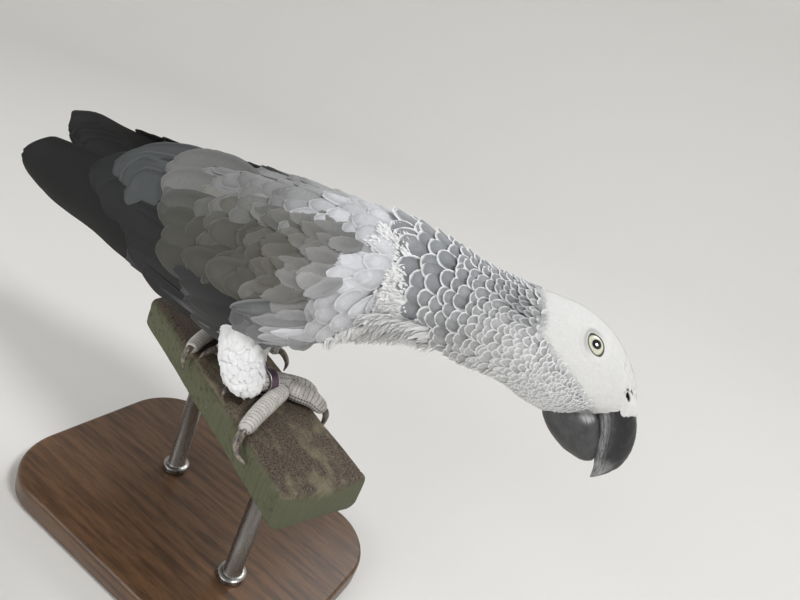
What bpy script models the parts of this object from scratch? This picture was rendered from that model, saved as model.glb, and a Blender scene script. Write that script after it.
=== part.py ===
"""Grey parrot reaching forward and down from a cut length of beam, as a still museum model.

Units are metres with +Z up. The bird heads along +X and its right side faces -Y.
The origin is the middle of the underside of the stand's base.

The bird is laid out in millimetres in the BIRD frame, whose zero is the middle of the right
foot on the beam's top face, and `place` carries it to the world.
"""

import math

import bmesh
import bpy
import numpy as np
from mathutils import Matrix, Vector

MM = 0.001
GAP = 0.3  # clearance between neighbouring solids

# --- Driving dimensions, in millimetres and degrees ---------------------------------------

PERCH_TOP = 115.0  # height of the beam's top face
RIGHT_FOOT = (25.0, -5.0)  # the bird frame's zero, seen from above

BASE_SIZE = (190.0, 130.0, 14.0)
BASE_CORNER = 34.0
BASE_EDGE = 2.5

BEAM_SIZE = (160.0, 47.0, 21.0)
BEAM_HEADING = 158.5  # degrees round +Z from +X
BEAM_MIDDLE = (-17.1, -2.4)  # bird frame
BEAM_EDGE = 5.0
ROD_RADIUS = 5.0
ROD_SPACING = 84.0

HEAD_CENTRE = (119.7, 17.5, 96.8)  # midway between the eyes
HEAD_PITCH = 28.0  # beak down
HEAD_ROLL = 25.0  # right side up

EYE_RADIUS = 6.2
EYE_AHEAD = 0.0
EYE_ABOVE = 0.2
EYE_OUT = 9.8  # eyeball's centre from the head's middle plane

# Each body station: top edge x, z; bottom edge x, z; middle y; half width; lean to the right.
BODY = (
    (-130.0, 67.0, -121.0, 37.0, 13.0, 15.0, 12.0),
    (-106.0, 80.0, -96.0, 28.0, 15.0, 25.0, 10.0),
    (-76.0, 91.0, -66.0, 22.0, 17.0, 32.0, 7.0),
    (-42.0, 99.0, -34.0, 22.0, 18.0, 35.0, 4.0),
    (-10.0, 105.0, 0.0, 33.0, 18.0, 34.0, 0.0),
    (17.0, 108.5, 30.0, 50.0, 18.0, 31.0, -4.0),
    (41.0, 109.0, 52.0, 61.0, 18.0, 26.0, -8.0),
    (66.0, 107.0, 75.0, 61.5, 17.0, 22.5, -14.0),
)
NECK_START = 4.85  # station numbers where the body is parted
HEAD_START = 8.35

# Each head station, in the head's own frame: top edge x, z; bottom edge x, z; half width.
HEAD = (
    (-28.0, -1.0, -8.0, -39.0, 19.5),
    (-15.0, 7.4, 2.0, -35.5, 18.5),
    (-3.0, 11.0, 8.5, -32.5, 17.6),
    (8.5, 11.0, 12.5, -30.0, 17.0),
    (19.0, 8.6, 15.5, -27.0, 15.0),
    (27.0, 4.6, 18.0, -23.5, 12.0),
    (31.0, 1.2, 20.0, -20.5, 9.5),
)

# Beak stations, in the head's frame: top edge x, z; bottom edge x, z; half width.
UPPER_BILL = (
    (27.0, 1.5, 19.0, -10.5, 8.4),
    (34.0, -0.8, 25.0, -12.0, 8.2),
    (39.8, -4.6, 29.5, -14.8, 7.2),
    (44.4, -10.0, 33.6, -18.4, 5.9),
    (46.6, -16.0, 38.0, -22.0, 4.4),
    (46.6, -22.0, 41.4, -25.0, 2.7),
    (45.2, -27.4, 43.6, -28.0, 1.0),
)
LOWER_BILL = (
    (15.5, -11.0, 9.0, -28.5, 8.0),
    (21.0, -11.6, 14.5, -31.8, 8.8),
    (28.5, -14.5, 21.5, -33.0, 8.6),
    (34.0, -19.2, 29.0, -32.4, 7.4),
    (38.0, -23.4, 35.6, -29.6, 4.6),
)
CERE = (
    (23.0, 5.0, 17.0, -6.5, 9.6),
    (29.0, 3.2, 22.5, -9.5, 9.8),
    (34.2, 0.2, 27.2, -12.0, 9.0),
)

# Each wing station: upper edge x, y, z; lower edge x, y, z; outer bulge; thickness.
# They run from the bend of the wing to its tip. Thickness 0 means a flat back, cut by the trunk.
WING_EDGE = 0.5  # half the thickness along a wing's edges
RIGHT_WING = (
    (35.0, -3.0, 101.0, 40.0, -5.0, 77.0, 6.0, 0.0),
    (27.0, 3.0, 104.0, 33.0, -9.0, 60.0, 12.0, 0.0),
    (6.0, 8.0, 103.0, 16.0, -13.0, 42.0, 16.0, 0.0),
    (-20.0, 10.0, 100.0, -5.0, -15.0, 30.0, 19.0, 0.0),
    (-48.0, 9.0, 95.0, -30.0, -15.0, 20.0, 19.0, 0.0),
    (-78.0, 7.0, 88.0, -57.0, -13.5, 19.0, 16.0, 0.0),
    (-102.0, 5.0, 82.0, -79.0, -12.5, 20.0, 12.5, 0.0),
    (-122.0, 4.0, 75.0, -98.0, -12.0, 21.0, 9.5, 0.0),
)
RIGHT_PRIMARIES = (
    (-122.5, 4.0, 74.5, -98.5, -12.0, 21.0, 9.5, 5.0),
    (-138.0, 3.0, 67.0, -122.0, -11.5, 23.5, 7.5, 4.2),
    (-155.0, 1.5, 62.0, -143.0, -11.0, 27.0, 6.0, 3.6),
    (-174.0, -1.0, 58.0, -164.0, -10.0, 33.5, 4.6, 3.0),
    (-191.0, -4.0, 55.0, -184.0, -9.5, 40.0, 3.2, 2.4),
    (-201.0, -7.5, 51.0, -200.0, -9.0, 45.0, 1.6, 1.6),
)
LEFT_WING = (
    (34.0, 39.0, 101.0, 40.0, 41.0, 77.0, 6.0, 0.0),
    (26.0, 32.0, 104.0, 32.0, 44.0, 62.0, 12.0, 0.0),
    (5.0, 27.0, 103.0, 14.0, 47.0, 48.0, 16.0, 0.0),
    (-22.0, 25.0, 101.0, -8.0, 49.0, 40.0, 19.0, 0.0),
    (-50.0, 24.0, 98.0, -34.0, 48.0, 36.0, 19.0, 0.0),
    (-80.0, 22.0, 92.5, -62.0, 45.0, 36.0, 16.0, 0.0),
    (-104.0, 20.0, 87.5, -86.0, 42.0, 37.0, 12.5, 0.0),
    (-126.0, 19.0, 83.0, -106.0, 40.0, 38.0, 9.5, 0.0),
)
LEFT_PRIMARIES = (
    (-126.5, 19.0, 82.5, -106.5, 40.0, 38.0, 9.5, 5.0),
    (-146.0, 19.5, 79.0, -132.0, 38.0, 40.0, 7.5, 4.2),
    (-166.0, 20.0, 76.5, -154.0, 36.0, 43.0, 6.0, 3.6),
    (-188.0, 21.0, 74.5, -178.0, 33.0, 46.0, 4.6, 3.0),
    (-207.0, 22.5, 70.5, -200.0, 31.0, 49.0, 3.2, 2.4),
    (-219.0, 25.0, 63.0, -217.0, 28.0, 53.0, 1.6, 1.6),
)

# Tail: root and tip of the closed fan, with half width and half thickness at each.
TAIL = (
    (-124.5, 13.0, 51.5, 15.0, 12.0),
    (-140.0, 12.8, 47.5, 16.5, 8.0),
    (-158.0, 12.4, 43.5, 18.0, 4.6),
    (-174.0, 12.2, 40.5, 18.5, 2.8),
    (-186.0, 12.2, 38.6, 15.5, 1.9),
    (-192.0, 12.2, 37.8, 8.5, 1.3),
)

# Legs: centre x, y, z and half widths along and across, down from the belly to the heel.
RIGHT_THIGH = (
    (-24.0, -7.0, 42.0, 17.0, 13.0),
    (-24.0, -11.0, 30.0, 14.0, 12.0),
    (-17.0, -17.0, 20.0, 11.5, 10.5),
    (-8.6, -21.4, 13.4, 10.6, 10.0),
    (-5.0, -23.0, 8.4, 7.8, 7.2),
    (-4.0, -23.4, 6.8, 3.4, 3.4),
)
LEFT_THIGH = (
    (-52.0, 27.0, 42.0, 17.0, 13.0),
    (-54.0, 25.0, 30.0, 14.0, 12.0),
    (-53.0, 19.0, 20.0, 11.5, 10.5),
    (-50.0, 12.0, 13.4, 10.6, 10.0),
    (-48.0, 9.0, 9.2, 7.8, 7.2),
    (-47.5, 8.4, 7.6, 3.4, 3.4),
)
RING_PLACE = (-2.2, -9.8, 9.0)
RING_HEADING = (0.2, 1.0, -0.12)
RING_RADIUS = 6.9
RING_WALL = 0.8
RING_WIDTH = 5.0
RING_SEGMENTS = 20

# Shank and toes: centre x, y, z and radius. Toe 4 and toe 1 reach back, 2 and 3 forward.
RIGHT_FOOT_PARTS = {
    "shank": (
        (-4.4, -21.0, 9.0, 5.2),
        (-2.6, -12.0, 9.2, 4.8),
        (0.0, -3.0, 6.8, 5.4),
        (1.6, 3.0, 5.4, 4.6),
    ),
    "toe_2": (
        (0.6, 4.0, 5.0, 4.4),
        (4.5, 8.2, 4.8, 4.1),
        (8.6, 11.4, 4.4, 3.8),
        (12.4, 14.2, 1.8, 3.4),
    ),
    "toe_3": (
        (3.0, 0.0, 5.2, 4.8),
        (10.5, 2.6, 4.9, 4.5),
        (17.5, 5.6, 4.7, 4.2),
        (23.0, 8.4, 1.8, 3.5),
    ),
    "toe_4": (
        (5.0, -5.0, 5.0, 4.7),
        (7.6, -16.0, 4.9, 4.5),
        (10.4, -28.0, 4.7, 4.2),
        (13.2, -38.4, 3.6, 3.4),
    ),
    "toe_1": (
        (-3.4, -4.5, 3.8, 3.8),
        (-9.0, -11.5, 3.6, 3.5),
        (-11.4, -19.6, 3.8, 3.2),
    ),
}
RIGHT_CLAWS = {
    "toe_2": (
        (11.6, 13.6, 2.6, 2.0),
        (14.8, 16.4, 0.2, 1.7),
        (15.8, 17.6, -4.8, 1.2),
        (15.4, 17.4, -9.6, 0.4),
    ),
    "toe_3": (
        (22.2, 8.0, 2.6, 2.2),
        (25.8, 9.9, -0.6, 1.8),
        (26.2, 10.6, -6.0, 1.3),
        (25.2, 10.6, -11.0, 0.4),
    ),
    "toe_4": (
        (13.0, -37.8, 3.8, 2.1),
        (14.2, -43.2, -0.6, 1.9),
        (17.2, -44.6, -5.4, 1.4),
        (22.4, -44.2, -7.8, 0.4),
    ),
    "toe_1": (
        (-11.2, -18.8, 4.4, 1.9),
        (-11.8, -23.6, 4.8, 1.6),
        (-10.8, -27.6, 3.2, 1.1),
        (-9.6, -29.2, 0.8, 0.4),
    ),
}
LEFT_FOOT_PARTS = {
    "shank": (
        (-47.6, 10.4, 9.0, 5.2),
        (-45.5, 18.0, 8.2, 4.9),
        (-43.5, 25.0, 6.4, 5.4),
        (-42.0, 29.0, 5.4, 4.6),
    ),
    "toe_2": (
        (-43.4, 29.6, 5.0, 4.4),
        (-42.4, 34.0, 2.8, 3.6),
    ),
    "toe_3": (
        (-38.5, 26.0, 5.0, 4.6),
        (-31.5, 27.2, 4.6, 4.2),
        (-24.8, 27.8, 2.6, 3.4),
    ),
    "toe_4": (
        (-39.4, 21.0, 4.8, 4.4),
        (-37.0, 12.0, 4.6, 4.2),
        (-36.6, 3.0, 4.4, 4.0),
        (-37.4, -4.6, 3.8, 3.3),
    ),
    "toe_1": (
        (-49.4, 20.0, 4.6, 4.2),
        (-52.4, 8.0, 4.4, 4.0),
        (-50.0, -5.0, 4.2, 3.7),
        (-46.4, -15.0, 3.6, 3.2),
    ),
}
LEFT_CLAWS = {
    "toe_2": (
        (-42.6, 33.0, 3.6, 2.0),
        (-41.6, 37.4, 1.0, 1.7),
        (-40.8, 38.6, -4.0, 1.2),
        (-41.0, 38.2, -9.0, 0.4),
    ),
    "toe_3": (
        (-25.8, 27.8, 3.4, 2.1),
        (-20.6, 29.4, 2.0, 1.8),
        (-17.4, 31.4, -3.2, 1.3),
        (-17.6, 31.8, -9.0, 0.4),
    ),
    "toe_4": (
        (-37.3, -3.6, 4.4, 2.0),
        (-38.2, -9.4, 5.0, 1.7),
        (-38.8, -14.0, 3.6, 1.2),
        (-39.2, -16.2, 1.0, 0.4),
    ),
    "toe_1": (
        (-46.7, -14.0, 4.2, 2.0),
        (-45.4, -19.4, 2.8, 1.7),
        (-44.6, -20.8, -2.0, 1.2),
        (-43.8, -20.2, -7.0, 0.4),
    ),
}

# --- Finishes ------------------------------------------------------------------------------

FINISHES = {
    "grey_plumage": ((0.25, 0.25, 0.26), 0.85, 0.0),
    "dark_plumage": ((0.07, 0.075, 0.085), 0.7, 0.0),
    "red_plumage": ((0.45, 0.02, 0.02), 0.7, 0.0),
    "white_plumage": ((0.75, 0.74, 0.72), 0.9, 0.0),
    "bare_skin": ((0.72, 0.70, 0.68), 0.6, 0.0),
    "scaly_skin": ((0.50, 0.45, 0.43), 0.6, 0.0),
    "horn": ((0.03, 0.03, 0.033), 0.35, 0.0),
    "claw_horn": ((0.16, 0.14, 0.13), 0.3, 0.0),
    "eye": ((0.75, 0.72, 0.50), 0.05, 0.0),
    "ring_metal": ((0.30, 0.22, 0.32), 0.35, 1.0),
    "weathered_beam": ((0.16, 0.14, 0.10), 0.8, 0.0),
    "stand_wood": ((0.10, 0.06, 0.035), 0.4, 0.0),
    "stand_metal": ((0.35, 0.34, 0.32), 0.3, 1.0),
}


def material(name):
    """The Principled material of that finish, made once."""
    made = bpy.data.materials.get(name)
    if made:
        return made
    colour, roughness, metallic = FINISHES[name]
    made = bpy.data.materials.new(name)
    made.use_nodes = True
    shader = made.node_tree.nodes["Principled BSDF"]
    shader.inputs["Base Color"].default_value = (*colour, 1.0)
    shader.inputs["Roughness"].default_value = roughness
    shader.inputs["Metallic"].default_value = metallic
    return made


# --- Helpers -------------------------------------------------------------------------------


def place(points):
    """Carries points from the bird frame, in millimetres, to the world, in metres."""
    return (np.asarray(points, float) + (*RIGHT_FOOT, PERCH_TOP)) * MM


def clear_scene():
    for obj in list(bpy.data.objects):
        bpy.data.objects.remove(obj, do_unlink=True)


def finish_mesh(name, mesh_bm, finish, smooth_angle=50.0):
    """Turns a bmesh into the named object with its finish, faces outward."""
    bmesh.ops.recalc_face_normals(mesh_bm, faces=mesh_bm.faces)
    mesh = bpy.data.meshes.new(name)
    mesh_bm.to_mesh(mesh)
    mesh_bm.free()
    mesh.materials.append(material(finish))
    mesh.shade_smooth()
    mesh.set_sharp_from_angle(angle=math.radians(smooth_angle))
    obj = bpy.data.objects.new(name, mesh)
    bpy.context.scene.collection.objects.link(obj)
    return obj


def loft(name, rings, finish):
    """A closed solid skinned over rings of points, with a flat cap on each end."""
    shape = bmesh.new()
    loops = [[shape.verts.new(point) for point in place(ring)] for ring in rings]
    around = len(loops[0])
    for near, far in zip(loops, loops[1:]):
        for i in range(around):
            j = (i + 1) % around
            shape.faces.new((near[i], near[j], far[j], far[i]))
    shape.faces.new(loops[0])
    shape.faces.new(loops[-1])
    return finish_mesh(name, shape, finish)


def cutter(obj):
    """Hides an object that only cuts others."""
    obj.hide_render = True
    obj.display_type = "WIRE"
    return obj


def carve(obj, *tools):
    """Takes each tool's shape away from the object."""
    for tool in tools:
        cut = obj.modifiers.new("cut_" + tool.name, "BOOLEAN")
        cut.operation = "DIFFERENCE"
        cut.solver = "EXACT"
        cut.object = tool


def spline(rows, t):
    """The Catmull-Rom curve through equally numbered rows, at the row number t."""
    rows = np.asarray(rows, float)
    first = int(np.clip(math.floor(t), 0, len(rows) - 2))
    before = rows[first - 1] if first else 2 * rows[0] - rows[1]
    after = rows[first + 2] if first + 2 < len(rows) else 2 * rows[-1] - rows[-2]
    a, b, u = rows[first], rows[first + 1], t - first
    slope_a, slope_b = (b - before) / 2, (after - a) / 2
    bend_a = 2 * u**3 - 3 * u**2 + 1
    bend_b = 3 * u**2 - 2 * u**3
    return bend_a * a + bend_b * b + (u**3 - 2 * u**2 + u) * slope_a + (u**3 - u**2) * slope_b


def unit(vector):
    return np.asarray(vector, float) / np.linalg.norm(vector)


# --- Body ----------------------------------------------------------------------------------


def head_axes():
    """Ahead, left and up for the head, pitched down and then rolled right side up."""
    turn = Matrix.Rotation(math.radians(HEAD_PITCH), 3, "Y") @ Matrix.Rotation(
        math.radians(-HEAD_ROLL), 3, "X"
    )
    return [np.array(turn.col[i]) for i in range(3)]


AHEAD, LEFT, UP = head_axes()


def in_head(ahead, left, up):
    """A point of the head's frame, in the bird frame."""
    return np.array(HEAD_CENTRE) + ahead * AHEAD + left * LEFT + up * UP


def body_station(row):
    """Centre, half height and half width vectors of a trunk or neck station."""
    top_x, top_z, low_x, low_z, mid_y, half_width, lean = row
    centre = np.array([(top_x + low_x) / 2, mid_y, (top_z + low_z) / 2])
    half = np.array([(top_x - low_x) / 2, 0.0, (top_z - low_z) / 2])
    left = np.array([0.0, half_width, 0.0])
    along = unit(np.cross(left, half))
    turn = Matrix.Rotation(math.radians(lean), 3, Vector(along))
    return np.concatenate([centre, turn @ Vector(half), turn @ Vector(left)])


def head_station(row):
    """The same vectors for a station in the head's frame."""
    top_x, top_z, low_x, low_z, half_width = row
    centre = in_head((top_x + low_x) / 2, 0.0, (top_z + low_z) / 2)
    half = (top_x - low_x) / 2 * AHEAD + (top_z - low_z) / 2 * UP
    return np.concatenate([centre, half, half_width * LEFT])


BODY_STATIONS = [body_station(row) for row in BODY] + [head_station(row) for row in HEAD]


def ring(station, around, grow=0.0, shift=0.0, droop=0.0):
    """An oval ring of points: half height times cosine plus half width times sine.

    droop lowers its widest part, grow makes it larger, and shift moves it along.
    """
    centre, half, left = station[:3], station[3:6], station[6:9]
    along = unit(np.cross(left, half))
    angles = np.arange(around) * 2 * math.pi / around
    height = np.cos(angles) - droop * np.sin(angles) ** 2
    up_part = unit(half) * (np.linalg.norm(half) + grow)
    left_part = unit(left) * (np.linalg.norm(left) + grow)
    return centre + shift * along + np.outer(height, up_part) + np.outer(np.sin(angles), left_part)


def body_part(name, start, end, steps, around, finish, grow=0.0):
    """A length of the body between two station numbers, parted by half a gap at each cut."""
    numbers = np.linspace(start, end, steps)
    shifts = np.zeros(steps)
    if start > 0:
        shifts[0] = GAP / 2
    shifts[-1] = -GAP / 2 + grow
    rings = [
        ring(spline(BODY_STATIONS, t), around, grow, shift, droop=0.1)
        for t, shift in zip(numbers, shifts)
    ]
    return loft(name, rings, finish)


def oval_horn(name, rows, around, finish, steps, grow=0.0):
    """A beak part: head-frame stations skinned as one horn."""
    stations = [head_station(row) for row in rows]
    numbers = np.linspace(0, len(rows) - 1, steps)
    return loft(name, [ring(spline(stations, t), around, grow) for t in numbers], finish)


def ball(name, centre, radius, finish, segments=16, rows=8):
    shape = bmesh.new()
    bmesh.ops.create_uvsphere(shape, u_segments=segments, v_segments=rows, radius=radius * MM)
    bmesh.ops.rotate(shape, verts=shape.verts, matrix=Matrix.Rotation(math.pi / 2, 3, "X"))
    bmesh.ops.translate(shape, verts=shape.verts, vec=Vector(place(centre)))
    return finish_mesh(name, shape, finish)


def make_head():
    end = len(BODY_STATIONS) - 1
    head = body_part("head", HEAD_START, end, 13, 26, "white_plumage")
    head_space = cutter(body_part("head_space", HEAD_START, end, 13, 26, "white_plumage", GAP))
    upper = oval_horn("bill_upper", UPPER_BILL, 14, "horn", 12)
    upper_space = cutter(oval_horn("upper_bill_space", UPPER_BILL, 14, "horn", 12, GAP))
    lower = oval_horn("bill_lower", LOWER_BILL, 14, "horn", 8)
    cere = oval_horn("cere", CERE, 18, "bare_skin", 4)
    carve(upper, head_space)
    carve(lower, head_space, upper_space)
    carve(cere, head_space, upper_space)
    for side, sign in (("right", -1), ("left", 1)):
        centre = in_head(EYE_AHEAD, sign * EYE_OUT, EYE_ABOVE)
        ball(f"eye_{side}", centre, EYE_RADIUS, "eye")
        carve(head, cutter(ball(f"eye_{side}_space", centre, EYE_RADIUS + GAP, "eye")))


# --- Wings and tail ------------------------------------------------------------------------


def wing_ring(row, side, edge, outer=8, inner=5):
    """A lens-shaped section from the upper edge to the lower one, bulging outward.

    Its outer side is a parabola over the chord, and its inner side the same parabola
    less the thickness, or the straight chord where the thickness is 0.
    """
    upper, lower = np.array(row[:3]), np.array(row[3:6])
    bulge, thickness = row[6], row[7]
    outward = unit(np.cross(lower - upper, [1.0, 0.0, 0.0])) * side
    back = bulge - thickness if thickness else 0.0
    down = np.linspace(0, 1, outer)[:, None]
    up = np.linspace(1, 0, inner)[:, None]
    front = upper + (lower - upper) * down + outward * (4 * down * (1 - down) * bulge + edge)
    rear = upper + (lower - upper) * up + outward * (4 * up * (1 - up) * back - edge)
    return np.concatenate([front, rear])


def wing_part(name, rows, side, steps, finish, grow=0.0):
    numbers = np.linspace(0, len(rows) - 1, steps)
    edge = WING_EDGE + grow
    return loft(name, [wing_ring(spline(rows, t), side, edge) for t in numbers], finish)


def make_trunk_and_neck():
    """The trunk and the neck. It returns the slightly larger shape that cuts wings and thighs."""
    body_part("trunk", 0, NECK_START, 17, 28, "grey_plumage")
    body_part("neck", NECK_START, HEAD_START, 11, 24, "grey_plumage")
    return cutter(body_part("body_space", 0, 7, 22, 28, "grey_plumage", GAP))


def make_wings(body_space):
    """Both wings. It returns the slightly larger shape of each that cuts the thighs."""
    spaces = {}
    for side, sign, wing_rows, tip_rows in (
        ("right", 1, RIGHT_WING, RIGHT_PRIMARIES),
        ("left", -1, LEFT_WING, LEFT_PRIMARIES),
    ):
        wing = (wing_rows, sign, 13, "grey_plumage")
        carve(wing_part(f"wing_{side}", *wing), body_space)
        spaces[side] = cutter(wing_part(f"wing_{side}_space", *wing, GAP))
        carve(wing_part(f"primaries_{side}", tip_rows, sign, 9, "dark_plumage"), body_space)
    return spaces


def make_tail(body_space):
    rings = []
    for t in np.linspace(0, len(TAIL) - 1, 9):
        x, y, z, half_width, half_thickness = spline(TAIL, t)
        station = np.array([x, y, z, 0.0, 0.0, half_thickness, 0.0, half_width, 0.0])
        rings.append(ring(station, 16))
    carve(loft("tail", rings, "red_plumage"), body_space)


# --- Legs and feet -------------------------------------------------------------------------


def leg_station(row):
    """A level station of the thigh."""
    x, y, z, along, across = row
    return np.array([x, y, z, along, 0.0, 0.0, 0.0, across, 0.0])


def make_thigh(name, rows, *spaces):
    """The thigh, cut by the spaces. It returns the slightly larger shape that cuts the shank."""
    numbers = np.linspace(0, len(rows) - 1, 10)
    stations = [spline([leg_station(row) for row in rows], t) for t in numbers]
    thigh = loft(name, [ring(station, 16) for station in stations], "white_plumage")
    grown = [ring(station, 16, GAP) for station in stations]
    grown[-1] = ring(stations[-1], 16, GAP, shift=GAP)
    carve(thigh, *spaces)
    return cutter(loft(name + "_space", grown, "white_plumage"))


def round_path(name, rows, finish, steps, around=8, grow=0.0):
    """A tapering round solid along a curve through x, y, z, radius rows.

    Every ring keeps the same side, square to the path's first and last points seen from above.
    """
    points = [spline(rows, t) for t in np.linspace(0, len(rows) - 1, steps)]
    side = np.cross([0.0, 0.0, 1.0], points[-1][:3] - points[0][:3])
    rings = []
    for i, point in enumerate(points):
        ahead = unit(points[min(i + 1, steps - 1)][:3] - points[max(i - 1, 0)][:3])
        left = unit(side - np.dot(side, ahead) * ahead)
        up = np.cross(ahead, left)
        station = np.concatenate([point[:3], up * point[3], left * point[3]])
        rings.append(ring(station, around, grow))
    return loft(name, rings, finish)


def make_foot(side, parts, claws, spaces):
    """Shank, toes and claws. Each piece is cut clear of the spaces and of the pieces before it."""
    for part, rows in parts.items():
        label = f"{part}_{side}"
        steps = 3 * len(rows) - 2
        piece = round_path(label, rows, "scaly_skin", steps)
        carve(piece, *(space for space in spaces if part != "shank" or "ring" not in space.name))
        if part in claws:
            claw = f"claw_{part[-1]}_{side}"
            round_path(claw, claws[part], "claw_horn", 6, 6)
            carve(piece, cutter(round_path(claw + "_space", claws[part], "claw_horn", 6, 6, GAP)))
        spaces.append(cutter(round_path(label + "_space", rows, "scaly_skin", steps, grow=GAP)))


def leg_ring_loops(shape, profile):
    """Turns a profile of radius and shift pairs about the leg ring's axis, as vertex loops."""
    axis = unit(RING_HEADING)
    side = unit(np.cross(axis, [0.0, 0.0, 1.0]))
    angles = np.arange(RING_SEGMENTS) * 2 * math.pi / RING_SEGMENTS
    outward = np.outer(np.cos(angles), side) + np.outer(np.sin(angles), np.cross(side, axis))
    loops = []
    for radius, shift in profile:
        points = place(np.array(RING_PLACE) + shift * axis + radius * outward)
        loops.append([shape.verts.new(point) for point in points])
    return loops


def join_loops(shape, near, far):
    for i in range(len(near)):
        j = (i + 1) % len(near)
        shape.faces.new((near[i], near[j], far[j], far[i]))


def make_leg_ring():
    """A plain closed metal band round the right shank. It returns the disc that clears the toes."""
    inside, half = RING_RADIUS - RING_WALL, RING_WIDTH / 2
    profile = [(RING_RADIUS, -half), (RING_RADIUS, half), (inside, half), (inside, -half)]
    shape = bmesh.new()
    loops = leg_ring_loops(shape, profile)
    for near, far in zip(loops, loops[1:] + loops[:1]):
        join_loops(shape, near, far)
    finish_mesh("leg_ring", shape, "ring_metal", 30.0)
    disc = bmesh.new()
    ends = leg_ring_loops(disc, [(RING_RADIUS + GAP, shift) for shift in (-half - GAP, half + GAP)])
    join_loops(disc, *ends)
    for end in ends:
        disc.faces.new(end)
    return cutter(finish_mesh("leg_ring_space", disc, "ring_metal", 30.0))


# --- Beam and stand ------------------------------------------------------------------------


def rounded_block(name, size, corner, edge, finish):
    """A block with rounded upright corners and a small round on its other edges."""
    shape = bmesh.new()
    bmesh.ops.create_cube(shape, size=1.0)
    bmesh.ops.scale(shape, verts=shape.verts, vec=Vector(size) * MM)
    if corner:
        upright = [e for e in shape.edges if abs(e.verts[0].co.z - e.verts[1].co.z) > 1e-6]
        bmesh.ops.bevel(
            shape, geom=upright, offset=corner * MM, segments=4, affect="EDGES", profile=0.5
        )
        level = [e for e in shape.edges if len(e.link_faces) == 2 and e.calc_face_angle() > 1.2]
    else:
        level = [e for e in shape.edges if abs(e.verts[0].co.x - e.verts[1].co.x) > 1e-6]
    bmesh.ops.bevel(shape, geom=level, offset=edge * MM, segments=2, affect="EDGES", profile=0.5)
    return finish_mesh(name, shape, finish, 30.0)


def make_perch_and_stand():
    base = rounded_block("stand_base", BASE_SIZE, BASE_CORNER, BASE_EDGE, "stand_wood")
    base.location.z = BASE_SIZE[2] / 2 * MM
    beam = rounded_block("perch_beam", BEAM_SIZE, 0.0, BEAM_EDGE, "weathered_beam")
    middle = Vector(place((*BEAM_MIDDLE, -BEAM_SIZE[2] / 2)))
    beam.location = middle
    beam.rotation_euler.z = math.radians(BEAM_HEADING)
    low = BASE_SIZE[2] + GAP
    high = PERCH_TOP - BEAM_SIZE[2] - GAP
    direction = Vector((math.cos(beam.rotation_euler.z), math.sin(beam.rotation_euler.z), 0.0))
    for number, step in enumerate((-0.5, 0.5), 1):
        shape = bmesh.new()
        bmesh.ops.create_cone(
            shape,
            cap_ends=True,
            segments=20,
            radius1=ROD_RADIUS * MM,
            radius2=ROD_RADIUS * MM,
            depth=(high - low) * MM,
        )
        rod = finish_mesh(f"stand_rod_{number}", shape, "stand_metal")
        rod.location = middle + direction * (step * ROD_SPACING * MM)
        rod.location.z = (low + high) / 2 * MM


def main():
    clear_scene()
    make_head()
    body_space = make_trunk_and_neck()
    wing_spaces = make_wings(body_space)
    make_tail(body_space)
    ring_space = make_leg_ring()
    thigh_space = make_thigh("thigh_right", RIGHT_THIGH, body_space, wing_spaces["right"])
    make_foot("right", RIGHT_FOOT_PARTS, RIGHT_CLAWS, [thigh_space, ring_space])
    thigh_space = make_thigh("thigh_left", LEFT_THIGH, body_space, wing_spaces["left"])
    make_foot("left", LEFT_FOOT_PARTS, LEFT_CLAWS, [thigh_space])
    make_perch_and_stand()


main()
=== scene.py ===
"""The grey parrot's looks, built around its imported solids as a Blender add-on run as a script.

Lengths in the tables are millimetres in the BIRD frame, whose zero is the middle of the right
foot on the beam's top face. `world` carries points to metres in the model's own frame.
"""

import math

import bpy
import numpy as np
from bpy.props import FloatProperty, FloatVectorProperty, PointerProperty
from mathutils import Matrix, Vector

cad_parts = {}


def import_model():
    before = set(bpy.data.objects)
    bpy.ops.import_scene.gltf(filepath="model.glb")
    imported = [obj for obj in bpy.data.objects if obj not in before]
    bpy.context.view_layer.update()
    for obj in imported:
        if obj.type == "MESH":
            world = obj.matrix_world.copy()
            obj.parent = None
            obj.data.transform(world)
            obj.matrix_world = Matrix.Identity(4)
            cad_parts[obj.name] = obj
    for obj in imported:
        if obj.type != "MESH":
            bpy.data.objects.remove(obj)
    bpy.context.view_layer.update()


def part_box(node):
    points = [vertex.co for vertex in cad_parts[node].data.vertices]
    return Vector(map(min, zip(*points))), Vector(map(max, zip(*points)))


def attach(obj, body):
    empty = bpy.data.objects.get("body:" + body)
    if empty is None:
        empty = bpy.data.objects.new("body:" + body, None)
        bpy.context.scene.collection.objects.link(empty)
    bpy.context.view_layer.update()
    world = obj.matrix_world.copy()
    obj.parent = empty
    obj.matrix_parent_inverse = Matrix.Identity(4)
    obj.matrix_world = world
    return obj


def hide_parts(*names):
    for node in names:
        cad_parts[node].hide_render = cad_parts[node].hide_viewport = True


bl_info = {
    "name": "Grey parrot",
    "version": (1, 0, 0),
    "blender": (4, 5, 0),
    "location": "3D View > Sidebar > Parrot",
    "description": "Makes a life-size grey parrot on a cut length of beam",
    "category": "Object",
}

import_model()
BEAM_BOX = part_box("perch_beam")
BASE_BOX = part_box("stand_base")

MM = 0.001
SEED = 41
RIGHT_FOOT = np.array([25, -5, BEAM_BOX[1].z / MM])  # the bird frame's zero, in millimetres

# --- The bird's form --------------------------------------

HEAD_CENTRE = (119.7, 17.5, 96.8)  # midway between the eyes
HEAD_PITCH = 28
HEAD_ROLL = 25
DROOP = 0.1  # how far the widest part of each section hangs

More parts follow.
